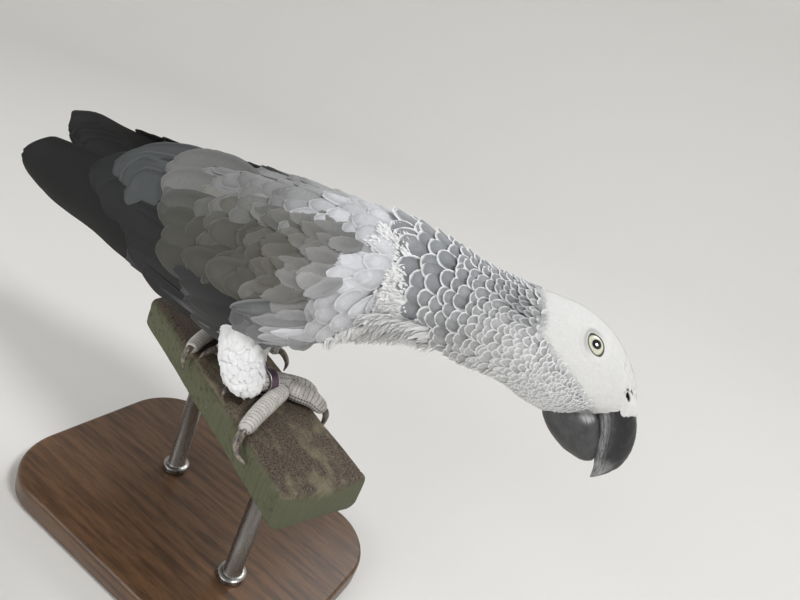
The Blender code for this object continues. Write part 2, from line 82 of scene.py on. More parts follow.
# Trunk and neck stations: top edge x, z; bottom edge x, z; middle y; half width; lean to the right.
BODY = (
    (-130, 67, -121, 37, 13, 15, 12),
    (-106, 80, -96, 28, 15, 25, 10),
    (-76, 91, -66, 22, 17, 32, 7),
    (-42, 99, -34, 22, 18, 35, 4),
    (-10, 105, 0, 33, 18, 34, 0),
    (17, 108.5, 30, 50, 18, 31, -4),
    (41, 109, 52, 61, 18, 26, -8),
    (66, 107, 75, 61.5, 17, 22.5, -14),
)
# Head stations, in the head's own frame: top edge x, z; bottom edge x, z; half width.
HEAD = (
    (-28, -1, -8, -39, 19.5),
    (-15, 7.4, 2, -35.5, 18.5),
    (-3, 11, 8.5, -32.5, 17.6),
    (8.5, 11, 12.5, -30, 17),
    (19, 8.6, 15.5, -27, 15),
    (27, 4.6, 18, -23.5, 12),
    (31, 1.2, 20, -20.5, 9.5),
)
NOSE = len(BODY) + len(HEAD) - 1  # the last station's number

# Wing stations from the bend to the tip: upper edge x, y, z; lower edge x, y, z; outer bulge.
RIGHT_WING = (
    (35, -3, 101, 40, -5, 77, 6),
    (27, 3, 104, 33, -9, 60, 12),
    (6, 8, 103, 16, -13, 42, 16),
    (-20, 10, 100, -5, -15, 30, 19),
    (-48, 9, 95, -30, -15, 20, 19),
    (-78, 7, 88, -57, -13.5, 19, 16),
    (-102, 5, 82, -79, -12.5, 20, 12.5),
    (-122, 4, 75, -98, -12, 21, 9.5),
    (-138, 3, 67, -122, -11.5, 23.5, 7.5),
    (-155, 1.5, 62, -143, -11, 27, 6),
    (-174, -1, 58, -166, -10, 27.5, 4.6),
    (-191, -4, 54.5, -186, -10, 29, 3.4),
    (-204, -6.5, 48, -204, -9.5, 32, 2),
)
LEFT_WING = (
    (34, 39, 101, 40, 41, 77, 6),
    (26, 32, 104, 32, 44, 62, 12),
    (5, 27, 103, 14, 47, 48, 16),
    (-22, 25, 101, -8, 49, 40, 19),
    (-50, 24, 98, -34, 48, 36, 19),
    (-80, 22, 92.5, -62, 45, 36, 16),
    (-104, 20, 87.5, -86, 42, 37, 12.5),
    (-126, 19, 83, -106, 40, 38, 9.5),
    (-146, 19.5, 79, -132, 38, 40, 7.5),
    (-166, 20, 76.5, -154, 36, 43, 6),
    (-188, 21, 74.5, -178, 33, 46, 4.6),
    (-207, 22.5, 67.5, -202, 31, 42, 3.2),
    (-219, 25, 60, -219, 29, 42, 2),
)
WINGS = {"right": (RIGHT_WING, 1), "left": (LEFT_WING, -1)}

# Legs: centre x, y, z and half widths along and across, down from the belly to the heel.
THIGHS = {
    "right": (
        (-24, -1, 42, 17, 13),
        (-23, -6, 30, 14.5, 12),
        (-17, -15, 20, 12, 10.5),
        (-8.6, -21.4, 13.4, 10.6, 10),
        (-5, -23, 8.4, 7.8, 7.2),
        (-4, -23.4, 6.8, 3.4, 3.4),
    ),
    "left": (
        (-52, 27, 42, 17, 13),
        (-54, 25, 30, 14, 12),
        (-53, 19, 20, 11.5, 10.5),
        (-50, 12, 13.4, 10.6, 10),
        (-48, 9, 9.2, 7.8, 7.2),
        (-47.5, 8.4, 7.6, 3.4, 3.4),
    ),
}

# --- Arrays and splines -----------------------------------


def unit(vectors):
    """Each vector divided by its length."""
    vectors = np.asarray(vectors, float)
    return vectors / np.maximum(np.linalg.norm(vectors, axis=-1, keepdims=True), 1e-9)


def draws(random, count):
    """A function that draws one value around zero per feather, with the spread it is given."""
    return lambda spread: spread * random.normal(size=count)


def smooth(x):
    """0 below 0, 1 above 1, and 3x^2 - 2x^3 between them."""
    x = np.clip(x, 0, 1)
    return x * x * (3 - 2 * x)


def circle(steps):
    """Angles that go once round in even steps."""
    return np.linspace(0, 2 * math.pi, steps, endpoint=False)


def spline(rows, t):
    """The Catmull-Rom curve through the rows at the row numbers t, an array of any shape."""
    rows = np.asarray(rows, float)
    padded = np.concatenate([2 * rows[:1] - rows[1:2], rows, 2 * rows[-1:] - rows[-2:-1]])
    first = np.clip(np.floor(t).astype(int), 0, len(rows) - 2)
    u = (np.asarray(t, float) - first)[..., None]
    before, a, b, after = (padded[first + k] for k in range(4))
    bend = u * u * (3 - 2 * u)
    return (
        a
        + bend * (b - a)
        + (u**3 - 2 * u**2 + u) * (b - before) / 2
        + (u**3 - u**2) * (after - a) / 2
    )


def turning(axis, degrees):
    """The matrix that turns by that angle about the unit axis (Rodrigues' formula)."""
    x, y, z = axis
    cross = np.array([[0, -z, y], [z, 0, -x], [-y, x, 0]])
    angle = math.radians(degrees)
    return np.eye(3) + math.sin(angle) * cross + (1 - math.cos(angle)) * cross @ cross


HEAD_TURN = turning((0, 1, 0), HEAD_PITCH) @ turning((1, 0, 0), -HEAD_ROLL)
AHEAD, LEFT, UP = HEAD_TURN.T


def in_head(ahead, left, up):
    """Points of the head's frame, in the bird frame."""
    local = np.stack(np.broadcast_arrays(ahead, left, up), -1)
    return np.array(HEAD_CENTRE) + local @ HEAD_TURN.T


def from_head(points):
    """The head frame's ahead, left and up of points in the bird frame."""
    return np.moveaxis((points - np.array(HEAD_CENTRE)) @ HEAD_TURN, -1, 0)


def body_station(row):
    """Centre, half height and half width vectors of a trunk or neck station."""
    top_x, top_z, low_x, low_z, mid_y, half_width, lean = row
    centre = np.array([(top_x + low_x) / 2, mid_y, (top_z + low_z) / 2])
    half = np.array([(top_x - low_x) / 2, 0, (top_z - low_z) / 2])
    left = np.array([0, half_width, 0])
    turn = turning(unit(np.cross(left, half)), lean)
    return np.concatenate([centre, turn @ half, turn @ left])


def head_station(row):
    """The same vectors for a station in the head's frame."""
    top_x, top_z, low_x, low_z, half_width = row
    centre = in_head((top_x + low_x) / 2, 0, (top_z + low_z) / 2)
    half = (top_x - low_x) / 2 * AHEAD + (top_z - low_z) / 2 * UP
    return np.concatenate([centre, half, half_width * LEFT])


STATIONS = np.array([body_station(row) for row in BODY] + [head_station(row) for row in HEAD])


def oval(stations, t, around, grow=0, droop=DROOP):
    """Points of a skinned oval: half height times cosine plus half width times sine."""
    t, around, grow = np.broadcast_arrays(t, around, grow)
    found = spline(stations, t)
    centre, half, left = found[..., :3], found[..., 3:6], found[..., 6:9]
    half_size = np.linalg.norm(half, axis=-1)
    left_size = np.linalg.norm(left, axis=-1)
    up_way = (np.cos(around) - droop * np.sin(around) ** 2) * (half_size + grow) / half_size
    left_way = np.sin(around) * (left_size + grow) / left_size
    return centre + half * up_way[..., None] + left * left_way[..., None]


class Form:
    """A surface over two coordinates. outward is -1 where along x across points into the bird."""

    def __init__(self, place, outward=1):
        self.place = place
        self.outward = outward

    def slopes(self, p, q):
        """Place, change along each coordinate and outward normal at each pair of coordinates."""
        step = 0.01
        here = self.place(p, q)
        along = (self.place(p + step, q) - here) / step
        across = (self.place(p, q + step) - here) / step
        return here, along, across, unit(np.cross(along, across)) * self.outward


BODY_FORM = Form(lambda t, around: oval(STATIONS, t, around))


def wing_form(side, least_chord=0):
    """The outer face of a folded wing: a parabola bulging out of the chord between its edges.

    Chords shorter than the least one are lengthened about their middles.
    """
    rows, sign = np.array(WINGS[side][0]), WINGS[side][1]
    half = (rows[:, 3:6] - rows[:, :3]) / 2
    middle = rows[:, :3] + half
    half = half * np.maximum(least_chord / 2 / np.linalg.norm(half, axis=1, keepdims=True), 1)
    rows[:, :3], rows[:, 3:6] = middle - half, middle + half

    def place(s, c):
        s, c = np.broadcast_arrays(s, c)
        row = spline(rows, s)
        upper, lower = row[..., :3], row[..., 3:6]
        outward = unit(np.cross(lower - upper, [1, 0, 0])) * sign
        out = 4 * c * (1 - c) * row[..., 6]
        return upper + (lower - upper) * c[..., None] + outward * out[..., None]

    return Form(place, sign)


WING_FORMS = {side: wing_form(side) for side in WINGS}
QUILL_FORMS = {side: wing_form(side, 20) for side in WINGS}


def thigh_stations(side):
    """Centre, half length and half width vectors of level ovals from the belly to the heel."""
    return [(x, y, z, along, 0, 0, 0, across, 0) for x, y, z, along, across in THIGHS[side]]


def thigh_form(side):
    return Form(lambda t, around: oval(thigh_stations(side), t, around, droop=0))


# --- Meshes -----------------------------------------------


def world(points):
    """Carries points from the bird frame, in millimetres, to the model's frame, in metres."""
    return (np.asarray(points) + RIGHT_FOOT) * MM


def grid_faces(rows, columns, wrap=False):
    """Corner numbers of the quads of one grid of points, or of one joined round its columns."""
    numbers = np.arange(rows * columns).reshape(rows, columns)
    near, far = numbers[:-1], numbers[1:]
    if not wrap:
        return np.stack([near[:, :-1], near[:, 1:], far[:, 1:], far[:, :-1]], -1).reshape(-1, 4)
    return np.stack([near, np.roll(near, -1, 1), np.roll(far, -1, 1), far], -1).reshape(-1, 4)


def repeated(faces, points_each, count):
    """The same faces for each of that many copies, numbered on from one copy to the next."""
    starts = np.arange(count) * points_each
    return (faces[None] + starts[:, None, None]).reshape(-1, faces.shape[1])


def enclosed(points, face_sets):
    """Six times the volume that the faces enclose: negative where they look inward."""
    points = points - points.mean(0)
    total = 0
    for faces in face_sets:
        for k in range(1, faces.shape[1] - 1):
            a, b, c = (points[faces[:, corner]] for corner in (0, k, k + 1))
            total += float((a * np.cross(b, c)).sum())
    return total


def make_piece(name, points, face_sets, finish, slot, uvs=None, values=None, sharp=None, joined=None):
    """A mesh object from arrays: points in millimetres, then sets of faces of 3 or 4 corners.

    uvs gives each point's place in the named maps, and values each point's named number or colour.
    joined gives the number of the point that each one is welded to, or its own number. Edges are
    shaded sharp where their faces meet at more than the angle sharp, in degrees.
    """
    if enclosed(points, face_sets) < 0:
        face_sets = [faces[:, ::-1] for faces in face_sets]
    joined = np.arange(len(points)) if joined is None else joined
    kept, joined = np.unique(joined, return_inverse=True)
    mesh = bpy.data.meshes.new(name)
    mesh.vertices.add(len(kept))
    move_points(mesh, points[kept])
    sizes = np.concatenate([np.full(len(faces), faces.shape[1]) for faces in face_sets])
    corners = np.concatenate([faces.ravel() for faces in face_sets]).astype(np.int32)
    mesh.loops.add(len(corners))
    mesh.loops.foreach_set("vertex_index", joined[corners].astype(np.int32))
    mesh.polygons.add(len(sizes))
    starts = np.concatenate([[0], np.cumsum(sizes)[:-1]])
    mesh.polygons.foreach_set("loop_start", starts.astype(np.int32))
    mesh.update(calc_edges=True)
    mesh.shade_smooth()
    if sharp:
        mesh.set_sharp_from_angle(angle=math.radians(sharp))
    for label, uv in (uvs or {}).items():
        layer = mesh.uv_layers.new(name=label)
        layer.uv.foreach_set("vector", uv[corners].astype(np.float32).ravel())
    for label, value in (values or {}).items():
        add_value(mesh, label, np.asarray(value)[kept])
    mesh.materials.append(finish)
    obj = bpy.data.objects.new(name, mesh)
    bpy.context.scene.collection.objects.link(obj)
    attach(obj, "root")
    return obj


def add_value(mesh, label, value):
    """Stores a number, or a colour of three numbers, on each point of the mesh."""
    value = np.asarray(value, np.float32)
    if value.ndim == 1:
        mesh.attributes.new(label, "FLOAT", "POINT").data.foreach_set("value", value)
        return
    colour = np.concatenate([value, np.ones((len(value), 1), np.float32)], 1)
    mesh.attributes.new(label, "FLOAT_COLOR", "POINT").data.foreach_set("color", colour.ravel())


def points_of(mesh):
    """The mesh's points, in millimetres in the bird frame."""
    found = np.empty(len(mesh.vertices) * 3, np.float32)
    mesh.vertices.foreach_get("co", found)
    return found.reshape(-1, 3) / MM - RIGHT_FOOT


def apply_modifiers(obj):
    """Replaces the object's mesh by the one that its modifiers make."""
    graph = bpy.context.evaluated_depsgraph_get()
    graph.update()
    made = bpy.data.meshes.new_from_object(obj.evaluated_get(graph))
    obj.modifiers.clear()
    obj.data = made


def several(parts):
    """Points and faces of several closed tubes together, from the rings of each."""
    points, faces, total = [], [], 0
    for rings in parts:
        shape, sets = closed_tube(rings)
        points.append(shape)
        faces += [corners + total for corners in sets]
        total += len(shape)
    return np.concatenate(points), faces


def closed_ring(rings):
    """Faces of a surface that closes on itself both ways, from the last ring to the first too."""
    count, around = rings.shape[:2]
    first = np.arange(around)
    last = (count - 1) * around + first
    seam = np.stack([last, np.roll(last, -1), np.roll(first, -1), first], 1)
    return [grid_faces(count, around, wrap=True), seam]


def one_skin(obj, voxel, softenings):
    """Remeshes the parts of a piece as one surface with no seam, and softens it."""
    remesh = obj.modifiers.new("one skin", "REMESH")
    remesh.mode = "VOXEL"
    remesh.voxel_size = voxel * MM
    remesh.use_smooth_shade = True
    soften = obj.modifiers.new("soften", "SMOOTH")
    soften.factor = 0.5
    soften.iterations = softenings
    apply_modifiers(obj)


def move_points(mesh, points):
    """Puts the mesh's points at new places in the bird frame."""
    mesh.vertices.foreach_set("co", world(points).astype(np.float32).ravel())
    mesh.update()


def closed_tube(rings):
    """Points and faces of rings joined in turn, each end closed by a fan to its middle."""
    count, around = rings.shape[:2]
    middles = rings[[0, -1]].mean(1)
    points = np.concatenate([rings.reshape(-1, 3), middles])
    turn = np.arange(around)
    after = np.roll(turn, -1)
    first = np.stack([after, turn, np.full(around, count * around)], 1)
    last_ring = (count - 1) * around
    last = np.stack([turn + last_ring, after + last_ring, np.full(around, count * around + 1)], 1)
    return points, [grid_faces(count, around, wrap=True), first, last]


# --- Finishes ---------------------------------------------


class Finish:
    """A node material in the making, on one Principled shader."""

    def __init__(self, name, roughness, specular=0.5, **settings):
        self.material = bpy.data.materials.new(name)
        self.material.use_nodes = True
        self.tree = self.material.node_tree
        self.shader = self.tree.nodes["Principled BSDF"]
        self.shader.inputs["Roughness"].default_value = roughness
        self.shader.inputs["Specular IOR Level"].default_value = specular
        for label, value in settings.items():
            self.shader.inputs[label.replace("_", " ")].default_value = value

    def node(self, kind, inputs=None, output=0, **settings):
        """Adds a node, sets it, feeds its inputs and returns one of its outputs."""
        made = self.tree.nodes.new("ShaderNode" + kind)
        for label, value in settings.items():
            setattr(made, label, value)
        for key, value in (inputs or {}).items():
            if isinstance(value, bpy.types.NodeSocket):
                self.tree.links.new(value, made.inputs[key])
            else:
                made.inputs[key].default_value = value
        return made.outputs[output]

    def attribute(self, name, output="Fac"):
        return self.node("Attribute", output=output, attribute_name=name)

    def place(self, scale=(1, 1, 1), turn=(0, 0, 0)):
        """Object coordinates, turned and then scaled."""
        where = self.node("TexCoord", output="Object")
        return self.node("Mapping", {"Vector": where, "Scale": scale, "Rotation": turn})

    def noise(self, vector, scale, detail=3, roughness=0.5):
        return self.node(
            "TexNoise", {"Vector": vector, "Scale": scale, "Detail": detail, "Roughness": roughness}
        )

    def stretched_noise(self, vector, scale, detail, roughness):
        """Noise over coordinates that are first scaled, so that it runs in streaks."""
        stretched = self.node("Mapping", {"Vector": vector, "Scale": scale})
        return self.noise(stretched, 1, detail, roughness)

    def math(self, operation, first, second=0, third=0):
        return self.node("Math", {0: first, 1: second, 2: third}, operation=operation)

    def ramp(self, value, low, high, to_low=0, to_high=1):
        """The value carried smoothly from one range to another, and held at its ends."""
        return self.node(
            "MapRange",
            {"Value": value, "From Min": low, "From Max": high, "To Min": to_low, "To Max": to_high},
            interpolation_type="SMOOTHSTEP",
        )

    def mix(self, share, first, second, blend="MIX"):
        return self.node(
            "Mix", {"Factor": share, 6: as_colour(first), 7: as_colour(second)}, output=2,
            data_type="RGBA", blend_type=blend,
        )

    def bump(self, height, distance, strength=1):
        """Feeds a height into the shader's normal. The distance is in metres."""
        normal = self.node("Bump", {"Height": height, "Distance": distance, "Strength": strength})
        self.tree.links.new(normal, self.shader.inputs["Normal"])

    def feed(self, label, socket):
        self.tree.links.new(socket, self.shader.inputs[label])


def scaled(colour, share):
    return tuple(share * part for part in colour)


def as_colour(value):
    """A socket as it is, or three numbers with an alpha of 1."""
    return value if isinstance(value, bpy.types.NodeSocket) else (*value, 1)


# --- Feathers ---------------------------------------------

PATCH = 0.003  # a feather's size on the map that is baked
LOWEST_UV, UV_SPAN = 0.02, 0.95


def on_map(place, low, high):
    """Carries a coordinate's range to the part of the baked map that is used."""
    return LOWEST_UV + UV_SPAN * np.clip((place - low) / (high - low), 0, 1)


def half_widths(along, quill, widest, tip):
    """A vane's half width along its length, at most 1.

    It rises from the quill's share on a quarter sine to the widest place, and closes from the
    place called tip on a quarter ellipse.
    """
    rise = quill + (1 - quill) * np.sin(math.pi / 2 * np.clip(along / widest, 0, 1))
    close = np.clip((along - tip) / (1 - tip), 0, 1)
    return rise * np.sqrt(np.maximum(1 - close**2, 0.004))


class Coat:
    """Vanes laid on a form: each is a thin closed lens that bends with the form under it."""

    def __init__(self, form, way, rows, columns, seed):
        self.form = form
        self.way = way  # +1 where the vanes point along the form's first coordinate, or -1
        self.rows, self.columns = rows, columns
        self.random = np.random.default_rng(seed)
        self.points, self.values, self.uvs = [], [], []
        self.vanes = 0

    def lay(
        self, p, q, length, width, tint, patch, heading=0, low=0.3, high=1.6, cup=0.5, fray=0,
        rim=(0.6, 0.6, 0.6), rim_width=0.7, rim_share=1, shape=(0.35, 0.45, 0.62), thickness=0.22,
        skew=0, tilt=0.12, lift_tip=0, end_tint=None, patch_size=(PATCH, PATCH), jitter=0.12,
    ):
        """Adds a vane at each root p, q.

        Length, width, heights and cup are millimetres; heading turns it from the coat's lie, in
        radians. Its height over the form rises from low to high, sinks by cup at its edges and
        leans by tilt. fray breaks its outline, and skew moves the quill from its middle.
        """
        count = len(p)
        random = self.random
        each = lambda value: np.broadcast_to(np.asarray(value, float), (count,))[:, None, None]
        colour = lambda value: np.broadcast_to(value, (count, 3))[:, None, None]
        length, width, heading, rim_width = (each(x) for x in (length, width, heading, rim_width))
        low, high, cup, tilt = (each(x) for x in (low, high, cup, tilt))
        _, along, across, _ = self.form.slopes(p, q)
        pace = np.linalg.norm(along, axis=-1)[:, None, None]
        spread = np.linalg.norm(across, axis=-1)[:, None, None]
        p, q = p[:, None, None], q[:, None, None]

        step = np.linspace(0, 1, self.rows + 1)
        v = (1 - (1 - step) ** 1.5)[None, :, None]
        u = np.linspace(-1, 1, self.columns + 1)[None, None, :]
        half = half_widths(v, *shape) * width / 2
        ragged = each(fray) * random.normal(size=(count, self.rows + 1, self.columns + 1))
        ragged = ragged * smooth(2 * v - 0.4)
        x = length * (v + 0.25 * ragged * (1 - v * 0.6))
        y = half * u * (1 + 0.5 * ragged) + skew * half * (1 - u * u)
        cosine, sine = np.cos(heading), np.sin(heading)
        p_middle = p + self.way * length * v * cosine / pace
        across = self.form.slopes(p_middle, q + length * v * sine / spread)[2]
        spread_there = np.maximum(np.linalg.norm(across, axis=-1), 0.35 * spread)
        p_there = p + self.way * (x * cosine - y * sine) / pace
        q_there = q + x * sine / spread + y * cosine / spread_there
        here, _, _, normal = self.form.slopes(p_there, q_there)

        rise = low + (high - low) * v**0.8 - cup * u * u * (0.3 + 0.7 * v)
        rise = rise + tilt * y + each(lift_tip) * v**3
        rise = rise + each(jitter) * random.normal(size=(count, 1, 1))
        under = rise - each(thickness) * (1 - u * u) * np.sin(math.pi * np.clip(v, 0, 1))
        top = here + normal * rise[..., None]
        bottom = (here + normal * under[..., None])[:, :, ::-1]
        self.points.append(np.stack([top, bottom], 1).reshape(-1, 3))

        edge = np.minimum(half * (1 - np.abs(u)), length * (1 - v)) / rim_width
        end = colour(tint if end_tint is None else end_tint)
        tint = colour(tint) + (end - colour(tint)) * smooth(v * 1.3 - 0.3)[..., None]
        whole = lambda value: np.broadcast_to(value, (*x.shape, *value.shape[3:]))
        both = lambda value: np.stack([value, value[:, :, ::-1]], 1).reshape(-1, *value.shape[3:])
        self.values.append(
            {
                "tint": both(whole(tint)),
                "rim": both(whole(colour(rim))),
                "edge": both(whole(edge)),
                "rim_share": both(whole(each(rim_share))),
                "quill": both(np.abs(y)),
            }
        )
        barb = np.stack([x - 0.8 * np.abs(y), np.abs(y)], -1)
        barb = barb + 50 * random.random((count, 1, 1, 2))
        wide, high_patch = patch_size
        start = np.stack(patch, -1)[:, None, None]
        local = np.stack(np.broadcast_arrays(u * wide * 0.22, v * high_patch), -1)
        under_patch = (start + local + (wide * 0.5, 0))[:, :, ::-1]
        baked = np.stack([start + local, under_patch], 1).reshape(-1, 2)
        self.uvs.append({"OFBake": baked, "Barb": both(barb)})
        self.vanes += count

    def make(self, name, finish, slot):
        gather = lambda sets, key: np.concatenate([one[key] for one in sets])
        uvs = {key: gather(self.uvs, key) for key in self.uvs[0]}
        uvs["OFBake"] = np.clip(uvs["OFBake"], 0.001, 0.999)
        values = {key: gather(self.values, key) for key in self.values[0]}
        size = (self.rows + 1, self.columns + 1)
        each = size[0] * size[1]
        faces = repeated(grid_faces(*size), each, 2 * self.vanes)
        if self.way * self.form.outward > 0:
            faces = faces[:, ::-1]
        upper = np.arange(each).reshape(size)
        lower = upper[:, ::-1].copy()  # the under side shares the upper side's edge
        lower[1:-1, 1:-1] = each + upper[1:-1, 1:-1]
        joined = np.concatenate([upper.ravel(), lower.ravel()])
        joined = (joined + 2 * each * np.arange(self.vanes)[:, None]).ravel()
        points = np.concatenate(self.points)
        return make_piece(name, points, [faces], finish, slot, uvs, values, 70, joined)


def rows_of_roots(form, start, end, low, high, along, across, random, jitter=0.18):
    """Root places in staggered rows, whose spacings in millimetres follow along(p) and across(p, q).

    Each row spreads its roots evenly over the integral of 1 / across, from low to high.
    """
    places = []
    p, row = start, 0
    direction = math.copysign(1, end - start)
    while (end - p) * direction > 0:
        q = np.linspace(low, high, 181)
        _, slope_p, slope_q, _ = form.slopes(np.full(q.shape, p), q)
        density = np.linalg.norm(slope_q, axis=-1) / across(p, q)
        total = np.concatenate([[0], np.cumsum((density[1:] + density[:-1]) / 2 * np.diff(q))])
        count = max(int(total[-1]), 1)
        want = (np.arange(count) + 0.25 + 0.5 * (row % 2)) / count * total[-1]
        want = want + jitter * random.normal(size=count)
        found = np.interp(want, total, q)
        scale = np.interp(found, q, np.linalg.norm(slope_p, axis=-1))
        shift = jitter * along(p) * random.normal(size=count) / scale
        places.append(np.stack([p + shift, found], 1))
        p += direction * along(p) / float(np.median(np.linalg.norm(slope_p, axis=-1)))
        row += 1
    return np.concatenate(places).T


def plumage_finish(name, sheen=0.25, roughness=0.75, shaft=0, depth=1):
    """Vane colours from the points, pale rims, a shaft line, and barbs as fine slanting streaks.

    depth scales how strongly the streaks and the shade near an edge show.
    """
    made = Finish(name, roughness, 0.25, Sheen_Weight=sheen, Sheen_Roughness=0.5)
    where = made.node("UVMap", uv_map="Barb")
    streaks = made.stretched_noise(where, (3.2, 0.22, 1), 4, 0.6)
    edge = made.attribute("edge")
    wobble = made.math("ADD", edge, made.math("MULTIPLY", streaks, 0.5))
    share = made.ramp(wobble, 0.6, 1.75, 1, 0)
    share = made.math("MULTIPLY", share, made.attribute("rim_share"))
    line = made.ramp(made.attribute("quill"), 0.15, 0.6, shaft, 0)
    grain = made.ramp(streaks, 0.25, 0.75, 1 - 0.20 * depth, 1 + 0.16 * depth)
    near_edge = made.ramp(edge, 1, 4.5, 1 - 0.22 * depth, 1 + 0.06 * depth)
    shade = made.math("MULTIPLY", near_edge, grain)
    shade = made.math("MULTIPLY", shade, made.math("SUBTRACT", 1, line))
    tint = made.attribute("tint", "Color")
    inner = made.node("VectorMath", {0: tint, 3: shade}, operation="SCALE")
    made.feed("Base Color", made.mix(share, inner, made.attribute("rim", "Color")))
    made.bump(streaks, 0.00015 * depth, 0.7)
    return made.material


# --- Skin -------------------------------------------------

SKIN_VOXEL = 1.25
EYE_ABOVE = 0.2  # how far the eyes lie above the head's axis
EYE_RADIUS, EYE_HALF_DEPTH = 6.2, 5.4  # the ball is a little flattened along its own axis
EYE_PROUD = 0.75  # how far it stands out of the head's form
EYE_HALF_LONG, EYE_HALF_SHORT = 4.5, 3  # half the opening between the lids
EYE_SLANT = math.radians(-20)  # the opening's long way, from straight ahead
NOSTRIL = (24.4, -0.3)  # ahead and up
SIDES = {"right": -1, "left": 1}


def on_body(origin, axes, a, b, sign):
    """The station and angle on one side where the form has the coordinates a and b on two axes.

    Newton's method from the eye's own place; the third axis points out of that side.
    """
    t = np.full(np.shape(a), 10)
    around = np.full(np.shape(a), sign * math.radians(55))
    for _ in range(12):
        here, along, across, _ = BODY_FORM.slopes(t, around)
        found = (here - origin) @ axes.T
        along, across = along @ axes.T, across @ axes.T
        miss_a, miss_b = a - found[..., 0], b - found[..., 1]
        size = along[..., 0] * across[..., 1] - across[..., 0] * along[..., 1]
        step = (across[..., 1] * miss_a - across[..., 0] * miss_b) / size
        turn = (along[..., 0] * miss_b - along[..., 1] * miss_a) / size
        t = t + np.clip(step, -0.5, 0.5)
        around = around + np.clip(turn, -0.4, 0.4)
    return t, around


def eye_frame(side):
    """An eyeball's centre and its ahead, up and outward axes, square to the head's surface."""
    sign = SIDES[side]
    axes = np.array([AHEAD, UP, sign * LEFT])
    t, around = on_body(np.array(HEAD_CENTRE), axes, np.array(0), np.array(EYE_ABOVE), sign)
    here, _, _, out = BODY_FORM.slopes(t, around)
    ahead = unit(AHEAD - (AHEAD @ out) * out)
    up = unit(UP - (UP @ out) * out - (UP @ ahead) * ahead)
    return here + out * (EYE_PROUD - EYE_HALF_DEPTH), np.array([ahead, up, out])


EYE_FRAMES = {side: eye_frame(side) for side in SIDES}


def coat_depth(t):
    """How far the skin lies under the coat at each station of the body."""
    return np.interp(t, (0, 5, 8, 9.2, 10), (4, 3.6, 2.4, 0.8, 0.35))


def face_share(points, soft=6):
    """1 on the white face, 0 past its edges: behind the crown and under a line to the mouth."""
    ahead, _, up = from_head(points)
    back = -25 + 11 * smooth((-1 - up) / 12)
    return smooth((ahead - back - 3 + soft) / soft) * smooth((up + 16.5) / 4)


def ear_share(points):
    """1 in the middle of the grey streaked patch over the ear, fading to 0 round it."""
    ahead, _, up = from_head(points)
    return np.exp(-(((ahead + 24.5) / 8) ** 2) - ((up + 13) / 6) ** 2)


def coat_colour(points, colours):
    """The coat's colour at places on the head, neck and trunk."""
    ahead, _, up = from_head(points)
    x, z = points[..., 0], points[..., 2]
    belly = smooth((62 - z) / 30) * smooth((60 - x) / 40)
    rump = smooth((-70 - x) / 40)
    cheek = smooth((ahead + 50) / 40) * smooth((-12 - up) / 10)
    ear = ear_share(points)
    shade = np.array(colours.neck) * np.ones_like(points)
    for target, share in (
        (colours.belly, np.maximum(belly, 0.6 * rump)),
        (colours.face, 0.55 * cheek),
        (colours.face, 0.8 * face_share(points, 20) * (1 - ear)),
        (colours.face, face_share(points)),
    ):
        shade = shade + (np.array(target) - shade) * share[..., None]
    return shade * (1 - 0.25 * ear)[..., None]


def wing_block(side):
    """The flesh of the wing: its outer face sunk by the coat's depth, and its chord behind."""
    form = WING_FORMS[side]
    s = np.linspace(0.1, 7.4, 60)[:, None]
    c = np.linspace(0, 1, 32)[None]
    s, c = np.broadcast_arrays(s, c)
    here, _, _, normal = form.slopes(s, c)
    rows, _ = WINGS[side]
    row = spline(rows, s)
    chord = row[..., :3] + (row[..., 3:6] - row[..., :3]) * c[..., None]
    out = here - chord
    height = np.linalg.norm(out, axis=-1, keepdims=True)
    outer = chord + out * np.maximum(1 - 3 / np.maximum(height, 3), 0)
    thick = 1.2 * normal
    return np.concatenate([outer + thick, (chord - thick)[:, ::-1]], 1)


def make_skin(colours):
    """One closed skin for head, neck, trunk, wings and thighs, remeshed so that no seam shows."""
    t = np.linspace(0, NOSE, 120)[:, None]
    around = circle(72)[None]
    parts = [oval(STATIONS, t, around, -coat_depth(t))]
    parts += [wing_block(side) for side in WINGS]
    for side in THIGHS:
        level = np.linspace(0, len(THIGHS[side]) - 1, 30)[:, None]
        parts.append(oval(thigh_stations(side), level, around[:, ::2], -1, droop=0))
    skin = make_piece("skin", *several(parts), skin_finish(), "bare_skin")
    one_skin(skin, SKIN_VOXEL, 3)
    place = points_of(skin.data)
    ahead, left, up = from_head(place)
    near = np.exp(-(((ahead - NOSTRIL[0]) ** 2 + (up - NOSTRIL[1]) ** 2) / 3**2))
    place = place - (3.2 * near * np.sign(left))[:, None] * LEFT
    for centre, axes in EYE_FRAMES.values():
        found = (place - centre) @ axes.T
        inside = smooth((8 - np.hypot(found[:, 0], found[:, 1])) / 3) * smooth(found[:, 2] / 3)
        place = place - 3 * inside[:, None] * axes[2]
    move_points(skin.data, place)
    # Painted shade: the skin under the coat is darker than the coat over it, and far darker towards the
    # rear under the wings, for the shadow between the feathers.
    share = (0.8 + 0.2 * face_share(place)) * (1 - 0.85 * smooth((-30 - place[:, 0]) / 40))
    add_value(skin.data, "tint", coat_colour(place, colours) * share[:, None])
    limbs = [f"{part}_{side}" for part in ("wing", "thigh") for side in WINGS]
    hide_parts("head", "neck", "trunk", *limbs)


def skin_finish():
    made = Finish("parrot_skin", 0.7, 0.3)
    grain = made.noise(made.place(), 1400, 3, 0.6)
    shade = made.ramp(grain, 0.3, 0.7, 0.85, 1.08)
    tint = made.attribute("tint", "Color")
    made.feed("Base Color", made.node("VectorMath", {0: tint, 3: shade}, operation="SCALE"))
    made.bump(grain, 0.0004, 0.6)
    return made.material


# --- Coat of the head, neck and trunk ---------------------

